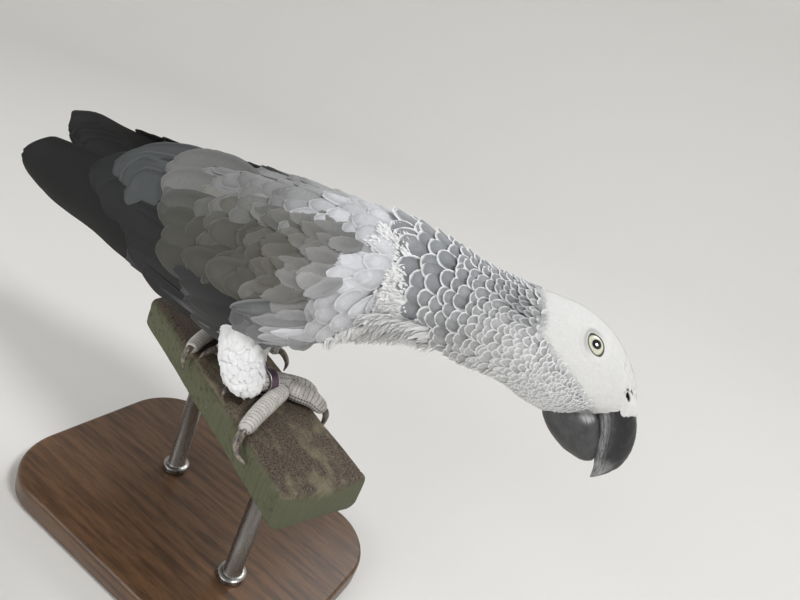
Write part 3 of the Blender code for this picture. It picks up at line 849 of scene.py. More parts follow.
STEP_AT = (0, 4, 5, 6, 6.5, 7, 7.5, 8, 8.7, 9.4, 10.2, 12, 14)
STEP_MM = (8, 8, 7.4, 6.8, 5.6, 4, 3, 2.4, 2, 1.7, 1.45, 1.25, 1.2)  # between rows
FACE_ROW, FACE_COLUMN = 0.85, 1


def row_step(t):
    return np.interp(t, STEP_AT, STEP_MM)


def column_step(t, around):
    """Between neighbours: wider than the rows are long."""
    return row_step(t) * np.interp(t, (7, 9.5), (1.45, 1.3))


def body_patch(t, around, low, high, around_low=0, around_high=2 * math.pi):
    """The place on a piece's baked map: its stations and angles, stretched over most of the map."""
    return on_map(t, low, high), on_map(around, around_low, around_high)


def bare_spots(points, length):
    """True where a small vane that lies back from each place stays off the lids and nostrils."""
    clear = np.ones(points.shape[:-1], bool)
    _, left, _ = from_head(points)
    for side, sign in SIDES.items():
        centre, axes = EYE_FRAMES[side]
        found = (points - centre) @ axes.T
        cosine, sine = math.cos(EYE_SLANT), math.sin(EYE_SLANT)
        for share in (0, 0.5, 1):
            x, z = found[..., 0] - share * length, found[..., 1]
            long_way, short_way = cosine * x + sine * z, cosine * z - sine * x
            off = (long_way / (EYE_HALF_LONG + 1.9)) ** 2 + (short_way / (EYE_HALF_SHORT + 2)) ** 2
            clear &= (off > 1) | (left * sign < 0)
    ahead, _, up = from_head(points)
    for share in (0, 0.5, 1):
        clear &= (ahead - share * length - NOSTRIL[0]) ** 2 + (up - NOSTRIL[1]) ** 2 > 2.4**2
    return clear


def make_face_coat(colours):
    """Slender white vanes, the smallest of all, that lie flat on the face."""
    random = np.random.default_rng(SEED + 1)
    t, around = rows_of_roots(
        BODY_FORM, 14, 7.2, 0, 2 * math.pi, lambda t: FACE_ROW, lambda t, around: FACE_COLUMN, random,
        0.3,
    )
    roots = BODY_FORM.place(t, around)
    share = face_share(roots, 12)
    keep = bare_spots(roots, 3) & (share > 0.1 + 0.6 * random.random(len(t)))
    t, around, roots, share = t[keep], around[keep], roots[keep], share[keep]
    count = len(t)
    vary = draws(random, count)
    tint = coat_colour(roots, colours) * (1 + vary(0.012))[:, None]
    coat = Coat(BODY_FORM, -1, 5, 2, SEED + 2)
    coat.lay(
        t, around, 3.1 * (1 + vary(0.15)), 1.9, tint, body_patch(t, around, 7.2, 14),
        heading=vary(0.13), low=-0.15, high=0.04 + 0.6 * (1 - share), cup=0, fray=0.05, rim=tint * 1.03,
        rim_width=0.4, rim_share=0.5, shape=(0.4, 0.4, 0.2), thickness=0.03, tilt=vary(0.01),
        jitter=0.01,
    )
    finish = plumage_finish("face_feathers_finish", 0.3, 0.85, 0, 0.25)
    return coat.make("face_feathers", finish, "white_plumage")


def neck_end(around):
    """Where the neck's vanes start to give way to down: nearer the head under the neck."""
    low = (1 - np.cos(around)) / 2
    return np.interp(low, (0, 0.03, 0.15, 0.78, 1), (5.5, 5.6, 5.95, 6.4, 6.6))


def lay_scallops(name, colours, end, start, rows, columns, seed):
    """Rounded vanes with pale rims, in staggered rows that grow as they leave the face. Each is painted
    darker at its root and lighter towards its tip: painted shade and painted highlight for a rounded, lit
    vane.
    """
    random = np.random.default_rng(seed)
    t, around = rows_of_roots(
        BODY_FORM, start, end, 0, 2 * math.pi, row_step, column_step, random, 0.15
    )
    roots = BODY_FORM.place(t, around)
    keep = (face_share(roots) < 0.7) & bare_spots(roots, 3) & (t > neck_end(around))
    t, around, roots = t[keep], around[keep], roots[keep]
    count = len(t)
    ear = ear_share(roots)
    step = row_step(t) * (1 - 0.15 * ear)
    vary = draws(random, count)
    tint = coat_colour(roots, colours) * (1 + vary(0.07))[:, None]
    coat = Coat(BODY_FORM, -1, rows, columns, seed + 1)
    coat.lay(
        # Painted shade at the root (0.85 of the tint) and painted highlight towards the tip (1.35 of it).
        t, around, 2.3 * step * (1 + vary(0.1)), 2.2 * step * (1 - 0.35 * ear), tint * 0.85,
        body_patch(t, around, t.min(), start), heading=vary(0.10 + 0.15 * ear),
        low=-2 * smooth((9.6 - t) / 3) - 0.3, high=0.15 + 0.16 * step, cup=0.20 * step, fray=0.03,
        rim=np.array(colours.rim) * (1 - 0.15 * ear)[:, None], rim_width=0.25 + 0.17 * step,
        rim_share=1 - 0.55 * ear, shape=(0.5, 0.5, 0.5), thickness=0.05 + 0.03 * step, tilt=vary(0.05),
        lift_tip=0.06 * step * random.random(count), end_tint=tint * 1.35, jitter=0.02 * step,
    )
    return coat.make(name, plumage_finish(f"{name}_finish"), "grey_plumage")


def make_neck_coat(colours):
    """The finest scallops on crown and cheek, and the broad ones down the neck."""
    lay_scallops("cheek_feathers", colours, 7.6, 12.9, 6, 3, SEED + 5)
    lay_scallops("neck_feathers", colours, 4.55, 7.6, 8, 4, SEED + 11)


def make_belly_coat(colours):
    """Softer, paler vanes under the trunk, from the foot of the neck to the vent."""
    random = np.random.default_rng(SEED + 20)
    t, around = rows_of_roots(
        BODY_FORM, 4.9, 1.3, math.radians(130), math.radians(228), row_step, column_step, random
    )
    roots = BODY_FORM.place(t, around)
    vary = draws(random, len(t))
    tint = coat_colour(roots, colours) * (1 + vary(0.08))[:, None]
    coat = Coat(BODY_FORM, -1, 7, 4, SEED + 21)
    coat.lay(
        t, around, 19 * (1 + vary(0.1)), 15, tint,
        body_patch(t, around, 1.3, 4.9, math.radians(130), math.radians(228)), heading=vary(0.16),
        low=-3, high=0.8, cup=0.8, fray=0.06, rim=np.array(colours.rim) + 0 * tint, rim_width=1,
        rim_share=0.7, shape=(0.5, 0.5, 0.55),
    )
    return coat.make("belly_feathers", plumage_finish("belly_feathers_finish"), "grey_plumage")


def draped_form(skin, t_range, around_range, rows=70, columns=56):
    """The skin's outside over a stretch of the back: a grid dropped on it from 28 mm above.

    Between the grid's points the place is the mean of the four round it, weighted by distance.
    """
    t = np.linspace(*t_range, rows)[:, None]
    around = np.linspace(*around_range, columns)[None]
    start = oval(STATIONS, t, around, 28)
    grid = make_piece(
        "drape", start.reshape(-1, 3), [grid_faces(rows, columns)[:, ::-1]], None, "grey_plumage"
    )
    drop = grid.modifiers.new("drop", "SHRINKWRAP")
    drop.wrap_method = "PROJECT"
    drop.use_negative_direction = True
    drop.use_positive_direction = False
    drop.target = skin
    apply_modifiers(grid)
    found = points_of(grid.data).reshape(rows, columns, 3)
    bpy.data.objects.remove(grid)
    for _ in range(6):
        found[1:-1] = (found[:-2] + 2 * found[1:-1] + found[2:]) / 4
        found[:, 1:-1] = (found[:, :-2] + 2 * found[:, 1:-1] + found[:, 2:]) / 4

    def place(p, q):
        p, q = np.broadcast_arrays(p, q)
        row = (p - t_range[0]) / (t_range[1] - t_range[0]) * (rows - 1)
        column = (q - around_range[0]) / (around_range[1] - around_range[0]) * (columns - 1)
        i = np.clip(np.floor(row).astype(int), 0, rows - 2)
        j = np.clip(np.floor(column).astype(int), 0, columns - 2)
        u, v = (row - i)[..., None], (column - j)[..., None]
        near = found[i, j] * (1 - v) + found[i, j + 1] * v
        far = found[i + 1, j] * (1 - v) + found[i + 1, j + 1] * v
        return near * (1 - u) + far * u

    return Form(place)


def make_back_coat(colours, skin):
    """Mantle, scapulars and rump: vanes over the back and the wings' upper edges."""
    random = np.random.default_rng(SEED + 30)
    limit = math.radians(72)
    form = draped_form(skin, (0.1, 5.6), (-limit, limit))
    step = lambda t: np.interp(t, (1, 5), (9.5, 7))
    across = lambda t, around: step(t) * 1.3
    t, around = rows_of_roots(form, 5.5, 0.9, -0.8 * limit, 0.8 * limit, step, across, random, 0.2)
    tint = np.array(colours.mantle) + (np.array(colours.shoulder) - colours.mantle) * (
        smooth((t - 3.6) / 1.2)[:, None] * 0.8
    )
    rear = smooth((3.2 - t) / 1.6)[:, None] * 0.6
    tint = tint + (np.array(colours.covert) - tint) * rear * 0.5
    edge = smooth((np.abs(around) - 0.6) / 0.3)[:, None] * smooth((4.6 - t) / 1)[:, None]
    tint = tint + (np.array(colours.wing_middle) * 1.25 - tint) * edge * 0.8
    vary = draws(random, len(t))
    tint = tint * (1 + vary(0.10))[:, None]
    coat = Coat(form, -1, 7, 4, SEED + 31)
    length = np.interp(t, (1, 5), (24, 18))
    coat.lay(
        t, around, length * (1 + vary(0.12)), 0.72 * length, tint,
        (on_map(t, 0.1, 5.6), on_map(around, -limit, limit)), heading=vary(0.16) - 0.12 * around,
        low=0.4, high=np.interp(t, (0.9, 2.5, 5), (1.2, 2.6, 3.2)), cup=0.9, fray=0.05,
        rim=tint * 1.35 + 0.02, rim_width=0.9, rim_share=0.6, shape=(0.5, 0.5, 0.5), thickness=0.15,
        tilt=vary(0.05), lift_tip=0.5 * random.random(len(t)) ** 2,
    )
    return coat.make("back_feathers", plumage_finish("back_feathers_finish"), "grey_plumage")


def make_thigh_coats(colours):
    """White vanes that lie down each thigh and shrink towards its smooth rounded heel."""
    for number, side in enumerate(THIGHS):
        random = np.random.default_rng(SEED + 34 + number)
        form = thigh_form(side)
        step = lambda level: np.interp(level, (0, 2.5, 5), (3.4, 2.6, 1.1))
        across = lambda level, around: step(level) * 1.1
        level, around = rows_of_roots(form, 0.75, 4.62, 0, 2 * math.pi, step, across, random, 0.2)
        count = len(level)
        size = step(level)
        vary = draws(random, count)
        tint = np.array(colours.down) * (1 + vary(0.03)[:, None])
        coat = Coat(form, 1, 7, 2, SEED + 36 + number)
        coat.lay(
            level, around, 3 * size * (1 + vary(0.12)), 1.7 * size, tint,
            (on_map(level, 0, 4.95), on_map(around, 0, 2 * math.pi)), heading=vary(0.15), low=-0.4,
            high=0.15 + 0.16 * size, cup=0.05 * size, fray=0.06, rim=tint, rim_share=0.3,
            shape=(0.45, 0.45, 0.3), thickness=0.06, tilt=vary(0.04),
            lift_tip=0.12 * size * random.random(count) ** 2,
        )
        finish = plumage_finish(f"thigh_{side}_finish", 0.3, 0.85, 0, 0.4)
        coat.make(f"thigh_feathers_{side}", finish, "white_plumage")


# Bands of down: form, first and last p, first and last q (degrees on the body), how far p has
# moved by the last q, how many vanes, their length, how far they rise, and their turn.
DOWN = (
    ("body", 5.72, 6.3, 226, 326, -0.45, 1200, 6.5, 1.4, 0),
    ("body", 5.27, 5.85, 34, 134, 0.45, 1200, 6.5, 1.4, 0),
    ("body", 4.7, 6.6, 120, 240, 0, 3900, 9, 5.4, 0),
    ("right", 0.1, 1.7, 0.93, 1, 0, 200, 5, 1.2, 1.1),
    ("left", 0.1, 1.7, 0.93, 1, 0, 200, 5, 1.2, 1.1),
)


def make_down(colours):
    """White down where the neck meets the wings, under the neck's foot and along the wings.

    Its vanes are slender and ragged, and neighbours turn and rise together, so that they clump.
    """
    for number, row in enumerate(DOWN):
        part, p_start, p_end, q_start, q_end, lean, count, length, rise, turn = row
        random = np.random.default_rng(SEED + 120 + number)
        across, down = random.random((2, count))
        p = p_start + (p_end - p_start) * down + lean * across
        q = q_start + (q_end - q_start) * across
        q = np.radians(q) if part == "body" else q
        form, way = (BODY_FORM, -1) if part == "body" else (WING_FORMS[part], 1)
        roots = form.place(p, q)
        clump, lump = (level_noise(roots, size, SEED + 130 + number, 2) for size in (9, 6))
        vary = draws(random, count)
        up = rise * np.clip(0.55 + 0.35 * lump + vary(0.2), 0.1, 1)
        coat = Coat(form, way, 6, 2, SEED + 140 + number)
        coat.lay(
            p, q, length * (1 + vary(0.2)), 1.9 * (1 + vary(0.2)),
            np.array(colours.down) * (1 + vary(0.03)[:, None]),
            (on_map(across, 0, 1), on_map(down, 0, 1)), heading=turn + 0.35 * clump + vary(0.18),
            low=-2, high=0.5 * up, cup=0.15, fray=0.08, rim_share=0, shape=(0.4, 0.3, 0.15),
            thickness=0.08, tilt=vary(0.25), lift_tip=0.6 * up,
        )
        finish = plumage_finish(f"down_{number + 1}_finish", 0.4, 0.9, 0, 0.3)
        coat.make(f"down_{number + 1}", finish, "white_plumage")


# --- Wings ------------------------------------------------

DARK_FROM = ((0, 6.6), (0.5, 6.5), (0.62, 5.9), (0.70, 5), (0.76, 4.1), (1, 4))  # c, s


def wing_colour(s, c, colours):
    """Whitish at the bend, then warm grey, paler along the top; dark from a line down forward. The warm
    grey and the dark hold painted shade, darker than the feathers' own colours.
    """
    tint = np.array(colours.shoulder) * np.ones((*np.shape(s), 3))
    line = np.interp(c, *np.transpose(DARK_FROM))
    top = smooth((0.45 - c) / 0.4) * (0.35 + 0.65 * smooth((6 - s) / 1.5))
    for target, share in (
        (colours.wing_middle, smooth((s - 0.3 - 1.2 * c) / 2.1)),
        (colours.covert, smooth((s - 2.8) / 2.2)),
        (colours.mantle, smooth((s - 0.4) / 1.6) * top),
        (colours.band, smooth((s - 1.8) / 1.5) * smooth((c - 0.76) / 0.1)),
        (colours.slate, smooth((s - line + 0.3) / 0.6)),
    ):
        tint = tint + (np.array(target) - tint) * share[..., None]
    return tint


def make_wing_coverts(side, colours):
    """Lesser and median coverts: neat rows at the bend of the wing, ruffled behind it."""
    random = np.random.default_rng(SEED + 40)
    form = WING_FORMS[side]
    step = lambda s: np.interp(s, (0, 1, 3, 5), (4.2, 5.2, 7.5, 10))
    across = lambda s, c: step(s) * 1.35
    s, c = rows_of_roots(form, 0, 4.4, 0.055, 0.97, step, across, random, 0.24)
    keep = s < np.interp(c, *np.transpose(DARK_FROM)) - 0.9
    s, c = s[keep], c[keep]
    count = len(s)
    size = step(s)
    ruffle = smooth((s - 1) / 1.2) * smooth((3.9 - s) / 1)
    cloud = 1 + 0.30 * ruffle * level_noise(form.place(s, c), 22, SEED + 44, 2)
    vary = draws(random, count)
    shade = cloud * (1 + vary(0.06))
    tint = wing_colour(s + 0.4, c, colours) * shade[:, None]
    coat = Coat(form, 1, 10, 6, SEED + 41)
    coat.lay(
        s, c, (2.6 + 0.6 * ruffle) * size * (1 + vary(0.08 + 0.08 * ruffle)),
        (2.5 - 0.3 * ruffle) * size * (0.7 + 0.3 * smooth((c - 0.04) / 0.14)), tint * 0.9,
        (on_map(s, -0.3, 4.5), on_map(c, 0, 1)), heading=vary(0.07 + 0.13 * ruffle) - 0.06, low=-1.4,
        high=0.6 + 0.05 * size, cup=0.10 * size, fray=0.03 + 0.05 * ruffle,
        rim=tint * 1.18 + 0.06 * (1 - ruffle)[:, None], rim_width=0.8 + 1.2 * ruffle,
        rim_share=0.6 - 0.3 * ruffle, shape=(0.5, 0.5, 0.4), thickness=0.12,
        tilt=vary(0.03 + 0.03 * ruffle) * smooth(c / 0.2),
        lift_tip=0.3 * ruffle * random.random(count) ** 2, end_tint=tint * 1.12,
    )
    finish = plumage_finish(f"covert_{side}_finish", 0.3, 0.8, 0, 0.7)
    coat.make(f"wing_coverts_{side}", finish, "grey_plumage")
    make_wisps(side, colours)


def make_wisps(side, colours):
    """Displaced feathers with soft pale ends, turned every way over the middle of the wing."""
    random = np.random.default_rng(SEED + 50)
    count = 36
    s = random.uniform(1.4, 2.7, count)
    c = random.uniform(0.2, 0.66, count)
    vary = draws(random, count)
    tint = wing_colour(s + 0.5, c, colours) * (1 + vary(0.08))[:, None]
    coat = Coat(WING_FORMS[side], 1, 12, 6, SEED + 51)
    coat.lay(
        s, c, random.uniform(14, 22, count), random.uniform(8, 12, count), tint * 0.95,
        (on_map(s, 1.4, 2.7), on_map(c, 0.2, 0.66)), heading=vary(0.30), low=0.2,
        high=1.7 + 0.3 * random.random(count), cup=0.8, fray=0.12, rim=tint * 1.25 + 0.01, rim_width=2,
        rim_share=0.5, shape=(0.5, 0.5, 0.4), thickness=0.12,
        skew=0.25 * random.choice((-1, 1), count)[:, None, None], tilt=vary(0.08),
        lift_tip=0.3 * random.random(count), end_tint=tint * 1.3 + 0.01,
    )
    finish = plumage_finish(f"wisps_{side}_finish", 0.3, 0.8, 0, 0.6)
    coat.make(f"wing_wisps_{side}", finish, "grey_plumage")


# Rows of feathers: name, colour, how many, then for the first and the last one: root s,
# root c, length, width, heading in degrees and tip height. Later rows lie on top.
QUILLS = (
    ("primaries", "charcoal", 9, (5.8, 0.90, 126, 22, -3.5, -0.2), (5.9, 0.25, 138, 24, 3, 0.9)),
    ("secondaries", "slate", 9, (4.4, 1, 62, 18, -2, 0.8), (5.4, 0.14, 92, 26, 0, 1.6)),
    ("tertials", "tertial", 6, (4.9, 0.36, 64, 24, 0, 1.9), (5.2, -0.04, 84, 26, 2, 2)),
    ("primary_coverts", "slate", 6, (3.3, 0.98, 42, 13, 0, 1.2), (3.1, 0.74, 48, 15, 1, 1.6)),
    ("alula", "band", 5, (0.9, 0.97, 36, 9, -1, 1), (1.7, 0.87, 42, 11, 1, 1.6)),
    ("lower_coverts", "covert", 4, (2.2, 0.70, 30, 15, -1, 1.9), (3.5, 0.62, 38, 18, -1, 2.3)),
    ("greater_coverts", "covert", 9, (3.9, 0.62, 46, 20, 0, 2.3), (4.4, 0, 58, 23, 3, 2.5)),
    ("oval_covert", "band", 1, (2.2, 0.77, 27, 10.5, 1, 3.2), (2.2, 0.77, 27, 10.5, 1, 3.2)),
)


def make_wing_quills(side, colours):
    """The flight feathers of a folded wing and the long coverts over their roots."""
    for number, (name, shade, count, first, last) in enumerate(QUILLS):
        random = np.random.default_rng(SEED + 60 + number)
        share = np.linspace(0, 1, count)[:, None]
        rows = np.array(first) + (np.array(last) - np.array(first)) * share
        vary = draws(random, count)
        rows[:, 0] += vary(0.08)
        s, c, length, width, heading, high = rows.T
        if side == "left":  # the wing that is seen from above: longer, and level with the back
            c, length = np.maximum(c, 0.22), length * (1.08 if name == "primaries" else 1)
        soft = name.endswith("coverts") or name == "alula"
        tint = np.array(getattr(colours, shade)) * np.ones((count, 1))
        if soft and shade != "slate":
            tint = wing_colour(s + length / 55, c, colours)
        elif name == "primaries" and side == "left":
            # Painted light: the left primaries, seen from above, are painted lighter than the same quills
            # on the right.
            tint = tint * 2.2
        tint = tint * (1 + vary(0.07)[:, None])
        coat = Coat(QUILL_FORMS[side], 1, 22, 8, SEED + 70 + number)
        coat.lay(
            s, c, length * (1 + vary(0.08 if soft else 0.03)), width * (1 + vary(0.12 if soft else 0)),
            tint, (0.05 + 0.85 * share[:, 0] if count > 1 else np.full(1, 0.4), np.full(count, 0.03)),
            heading=np.radians(heading + vary(3.5 if soft else 1.5)),
            low=-3 if name == "tertials" else -2, high=high, cup=0.6, fray=0.03 if soft else 0.004,
            # On the quills, the rim at 1.9 times the tint is a painted highlight along their edges; the
            # coverts' paler rims are their own colour.
            rim=tint * (1.3 if soft else 1.9), rim_width=1.6 if soft else 0.9, rim_share=0.5,
            shape=(0.3, 0.45, 0.3) if name == "oval_covert" else (0.45, 0.4, 0.5 if soft else 0.8),
            thickness=0.3, tilt=-0.04, skew=0.18, end_tint=tint * (1.2 if soft else 1),
            patch_size=(0.045 if count > 1 else 0.9, 0.9),
        )
        look = (0.2, 0.65, 0.1, 0.8) if soft else (0, 0.65, 0.4, 1.2)
        finish = plumage_finish(f"{name}_{side}_finish", *look)
        slot = "grey_plumage" if soft else "dark_plumage"
        piece = coat.make(f"{name}_coat_{side}", finish, slot)
        if name == "primaries":
            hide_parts(f"primaries_{side}")


# --- Tail -------------------------------------------------

TAIL_ROOT = np.array([-112, 13, 54])
TAIL_TIP = np.array([-192, 12.2, 38.4])
TAIL_SEED = 5


def tail_form():
    """A shallow arch from root to tip: q runs across it in millimetres, and p from 0 to 1."""
    way = TAIL_TIP - TAIL_ROOT

    def place(p, q):
        p, q = np.broadcast_arrays(p, q)
        rise = 2 - 0.012 * q * q
        return TAIL_ROOT + way * p[..., None] + np.stack([0 * q, -q, rise], -1)

    return Form(place)


def make_tail(colours):
    """Twelve scarlet quills in a closed fan, with short coverts over and under their roots."""
    form = tail_form()
    coat = Coat(form, 1, 20, 8, SEED + 80)
    order = np.arange(12)
    place = order - 5.5
    share = np.abs(place) / 5.5
    random = np.random.default_rng(TAIL_SEED)
    tint = np.array(colours.tail) * np.ones((12, 3)) * (0.9 + 0.15 * random.random((12, 1)))
    coat.lay(
        0.02 + 0 * place, place * 2.7, 76 - 12 * share, 14, tint,
        (0.05 + 0.85 * order / 11, np.full(12, 0.03)), heading=np.radians(-0.8 * place),
        low=0.6 * (5.5 - np.abs(place)) - 2.5, high=0.7 * (5.5 - np.abs(place)) - 2.6, cup=1,
        fray=0.012, rim=tint * 0.4, rim_share=0.9, shape=(0.4, 0.6, 0.8), thickness=0.4,
        tilt=0.05 * np.sign(place), patch_size=(0.045, 0.9),
    )
    random = np.random.default_rng(SEED + 82)
    grid = np.meshgrid(np.linspace(-0.06, 0.16, 4), np.linspace(-11, 11, 7))
    over, across = (places.ravel() for places in grid)
    for height in (1.8, -4.6):
        count = len(over)
        vary = draws(random, count)
        coat.lay(
            over + vary(0.02), across + vary(0.8), 24 + vary(3), 12,
            np.array(colours.tail) * (0.8 + 0.3 * random.random((count, 1))),
            (0.05 + 0.85 * (across + 11) / 22, 0.95 - 0.1 * (over + 0.06)), heading=vary(0.10),
            low=height - 0.6 * math.copysign(1, height), high=height,
            cup=0.5 * math.copysign(1, height), fray=0.05, rim_share=0,
        )
    finish = plumage_finish("tail_finish", 0.2, 0.6, 0.3)
    tail = coat.make("tail_feathers", finish, "red_plumage")
    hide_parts("tail")


# --- Eyes, lids, cere and bill ----------------------------

# Bill stations in the head's frame: top edge x, z; bottom edge x, z; half width.
UPPER_BILL = (
    (24, 2, 16, -10, 8.4),
    (29, 1.2, 19.6, -11.4, 8.8),
    (34, -0.8, 23.6, -12.6, 8.6),
    (39.8, -4.6, 28.2, -15.4, 7.6),
    (44.4, -10, 32.6, -19, 6.1),
    (46.9, -16, 37.2, -22.6, 4.5),
    (47, -21.6, 40.8, -25.2, 3),
    (46.2, -26, 43.2, -27.8, 1.7),
    (45.2, -29.4, 44.6, -29.8, 0.5),
)
LOWER_BILL = (
    (15.5, -11, 9, -28.5, 7.8),
    (22, -11.2, 14.5, -31.8, 8.4),
    (29.6, -14.4, 21.5, -33, 8.1),
    (35.2, -19.2, 29, -32.4, 6.8),
    (38.6, -23.4, 35.4, -29.8, 4.4),
    (39.4, -25, 37.4, -28.6, 2.6),
)
CERE = (
    (22, 4.6, 16, -6, 9),
    (26, 3.9, 19.6, -8, 9.4),
    (30, 2.4, 23.2, -9.4, 9.2),
    (33, 0.6, 26.2, -11, 8.7),
    (34.4, -0.8, 27.6, -12, 7.6),
)
CERE_STATIONS = [head_station(row) for row in CERE]


def level_noise(points, size, seed, octaves=3):
    """Smooth noise about 0: sines along seeded directions, halved in size and strength each time."""
    random = np.random.default_rng(seed)
    total = np.zeros(points.shape[:-1])
    for octave in range(octaves):
        ways = unit(random.normal(size=(7, 3)))
        phases = random.uniform(0, 2 * math.pi, 7)
        rate = 2 * math.pi * 2**octave / size
        waves = np.sin(points @ ways.T * rate + phases)
        total += waves.mean(-1) * waves.shape[-1] ** 0.5 * 0.7 / 2**octave
    return total


def eye_outline(angle):
    """The opening's edge about the eye's axis: an ellipse drawn in towards its two corners."""
    narrow = 1 - 0.22 * np.abs(np.cos(angle)) ** 3
    long_way = EYE_HALF_LONG * np.cos(angle)
    short_way = EYE_HALF_SHORT * np.sin(angle) * narrow
    cosine, sine = math.cos(EYE_SLANT), math.sin(EYE_SLANT)
    return long_way * cosine - short_way * sine, long_way * sine + short_way * cosine


def make_eyes(colours, sizes):
    """Closed balls whose points hold their distance from the eye's axis, for iris and pupil."""
    theta = np.linspace(0, math.pi, 49)[:, None]
    phi = circle(64)[None]
    finish = eye_finish(colours, sizes.pupil / MM, sizes.iris / MM)
    for side, (centre, axes) in EYE_FRAMES.items():
        radius = EYE_RADIUS * np.sin(theta) * np.ones_like(phi)
        out = EYE_HALF_DEPTH * np.cos(theta) * np.ones_like(phi)
        local = np.stack([radius * np.cos(phi), radius * np.sin(phi), out], -1)
        rings = (centre + local @ axes)[1:-1]
        points, faces = closed_tube(rings)
        axis = np.concatenate([radius[1:-1].ravel(), [0, 0]])
        turn = np.concatenate([(phi + 0 * theta)[1:-1].ravel(), [0, 0]])
        values = {"from_axis": axis, "across": np.cos(turn), "above": np.sin(turn)}
        eye = make_piece(f"eyeball_{side}", points, faces, finish, "eye", values=values)
        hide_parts(f"eye_{side}")


def eye_finish(colours, pupil_radius, iris_radius):
    """A black pupil in a pale ring with faint spokes and a dusky rim, under a wet clear coat."""
    made = Finish("parrot_eye", 0.08, 0.6, Coat_Weight=1, Coat_Roughness=0.02)
    axis = made.attribute("from_axis")
    spoke = made.node("CombineXYZ", {0: made.attribute("across"), 1: made.attribute("above")})
    spokes = made.noise(spoke, 14, 3, 0.7)
    warm = made.mix(made.ramp(spokes, 0.35, 0.7), colours.iris, scaled(colours.iris, 0.72))
    inner = made.ramp(axis, pupil_radius, pupil_radius + 0.5, 0.55, 0)
    warm = made.mix(inner, warm, (0.30, 0.33, 0.20))
    outer = made.ramp(axis, iris_radius - 1.4, iris_radius - 0.4)
    warm = made.mix(outer, warm, (0.06, 0.06, 0.045))
    pupil = made.ramp(axis, pupil_radius - 0.15, pupil_radius, 1, 0)
    made.feed("Base Color", made.mix(pupil, warm, (0.003, 0.003, 0.003)))
    return made.material


# Rings round an eye: how far out from the opening, then height over the ball and over the head.
LID_STEPS = (-0.1, 0, 0.1, 0.22, 0.36, 0.5, 0.66, 0.9, 1.3, 1.8, 2.3, 2.8, 3.3, 3.9, 4.6, 5.4)
LID_RIM = (-0.5, 0.06, 0.2, 0.28, 0.30, 0.26, 0.18, 0.1, 0, 0, 0, 0, 0, 0, 0, 0)
LID_FOLD = (0, 0, 0, 0, 0, 0, 0, 0, 0.04, 0.14, 0.26, 0.28, 0.2, 0.02, -0.3, -0.8)


def make_lids(colours):
    """The rim, groove and soft fold round each eye: rings that leave the ball and join the head."""
    steps = np.array(LID_STEPS)[:, None]
    angle = circle(120)[None]
    finish = lid_finish(colours)
    edge_ahead, edge_up = eye_outline(angle)
    size = np.hypot(edge_ahead, edge_up)
    ahead = edge_ahead * (1 + steps / size)
    up = edge_up * (1 + steps / size)
    from_axis = np.hypot(ahead, up)
    ball = EYE_HALF_DEPTH * np.sqrt(np.maximum(1 - (from_axis / EYE_RADIUS) ** 2, 0.02))
    behind = smooth((-np.cos(angle) - 0.4 * np.sin(angle) + 0.5) / 1.2)
    for side, (centre, axes) in EYE_FRAMES.items():
        t, around = on_body(centre, axes, ahead, up, SIDES[side])
        head = ((BODY_FORM.place(t, around) - centre) @ axes.T)[..., 2]
        rim, fold = np.array(LID_RIM)[:, None], np.array(LID_FOLD)[:, None] * (0.3 + 0.9 * behind)
        out = 0.12 * np.logaddexp((ball + rim) / 0.12, (head + fold) / 0.12)
        out = np.where(steps < 0, ball - 0.5, out)
        out = out + 0.04 * level_noise(np.stack([ahead, up, 0 * up], -1), 2.2, SEED + 90)
        top = np.stack([ahead, up, out], -1)
        under = top - (0, 0, 0.4)
        rings = centre + np.concatenate([top, under[::-1]]) @ axes
        flat = steps + 0 * angle
        # Painted shade: grey on the skin of the fold behind and below the eye, where its crease lies.
        grey = behind * np.exp(-(((flat - 1.5) / 0.9) ** 2))
        values = {
            "out": np.concatenate([flat, flat[::-1]]).ravel(),
            "grey": np.concatenate([grey, grey[::-1]]).ravel(),
        }
        sets = [faces[:, ::-1] for faces in closed_ring(rings)]
        make_piece(f"eyelids_{side}", rings.reshape(-1, 3), sets, finish, "bare_skin", values=values)


def lid_finish(colours):
    """An olive-grey wet rim, then bare whitish skin with fine pebbling and painted grey shade in the soft
    fold.
    """
    made = Finish("eyelid_skin", 0.55, 0.3)
    pebbles = made.noise(made.place(), 2600, 2)
    paler = scaled(colours.bare_skin, 0.9)
    pale = made.mix(made.ramp(pebbles, 0.35, 0.65), colours.bare_skin, paler)
    # Painted shade in the fold behind the eye.
    grey = made.math("MULTIPLY", made.attribute("grey"), 0.75)
    pale = made.mix(grey, pale, (0.34, 0.35, 0.35))
    rim = made.ramp(made.attribute("out"), 0.34, 0.66, 1, 0)
    made.feed("Base Color", made.mix(rim, pale, (0.075, 0.08, 0.05)))
    made.bump(pebbles, 0.00015, 0.8)
    return made.material


def horn_rings(rows, steps, around):
    """Oval sections through the rows, with each point's station number and angle from the top."""
    t = np.linspace(0, len(rows) - 1, steps)[:, None]
    turn = circle(around)[None]
    return t, turn, oval([head_station(row) for row in rows], t, turn, droop=0)


def worked(rings, height):
    """The rings moved out from the middle of each by a height."""
    return rings + unit(rings - rings.mean(1, keepdims=True)) * height[..., None]


def growth_lines(t, turn, seed):
    """Noise stretched along the bill, so that it runs in lines from root to tip."""
    t, turn = np.broadcast_arrays(t, turn)
    return level_noise(np.stack([0.6 * t, 2.6 * turn, 0 * t], -1), 1.6, seed)


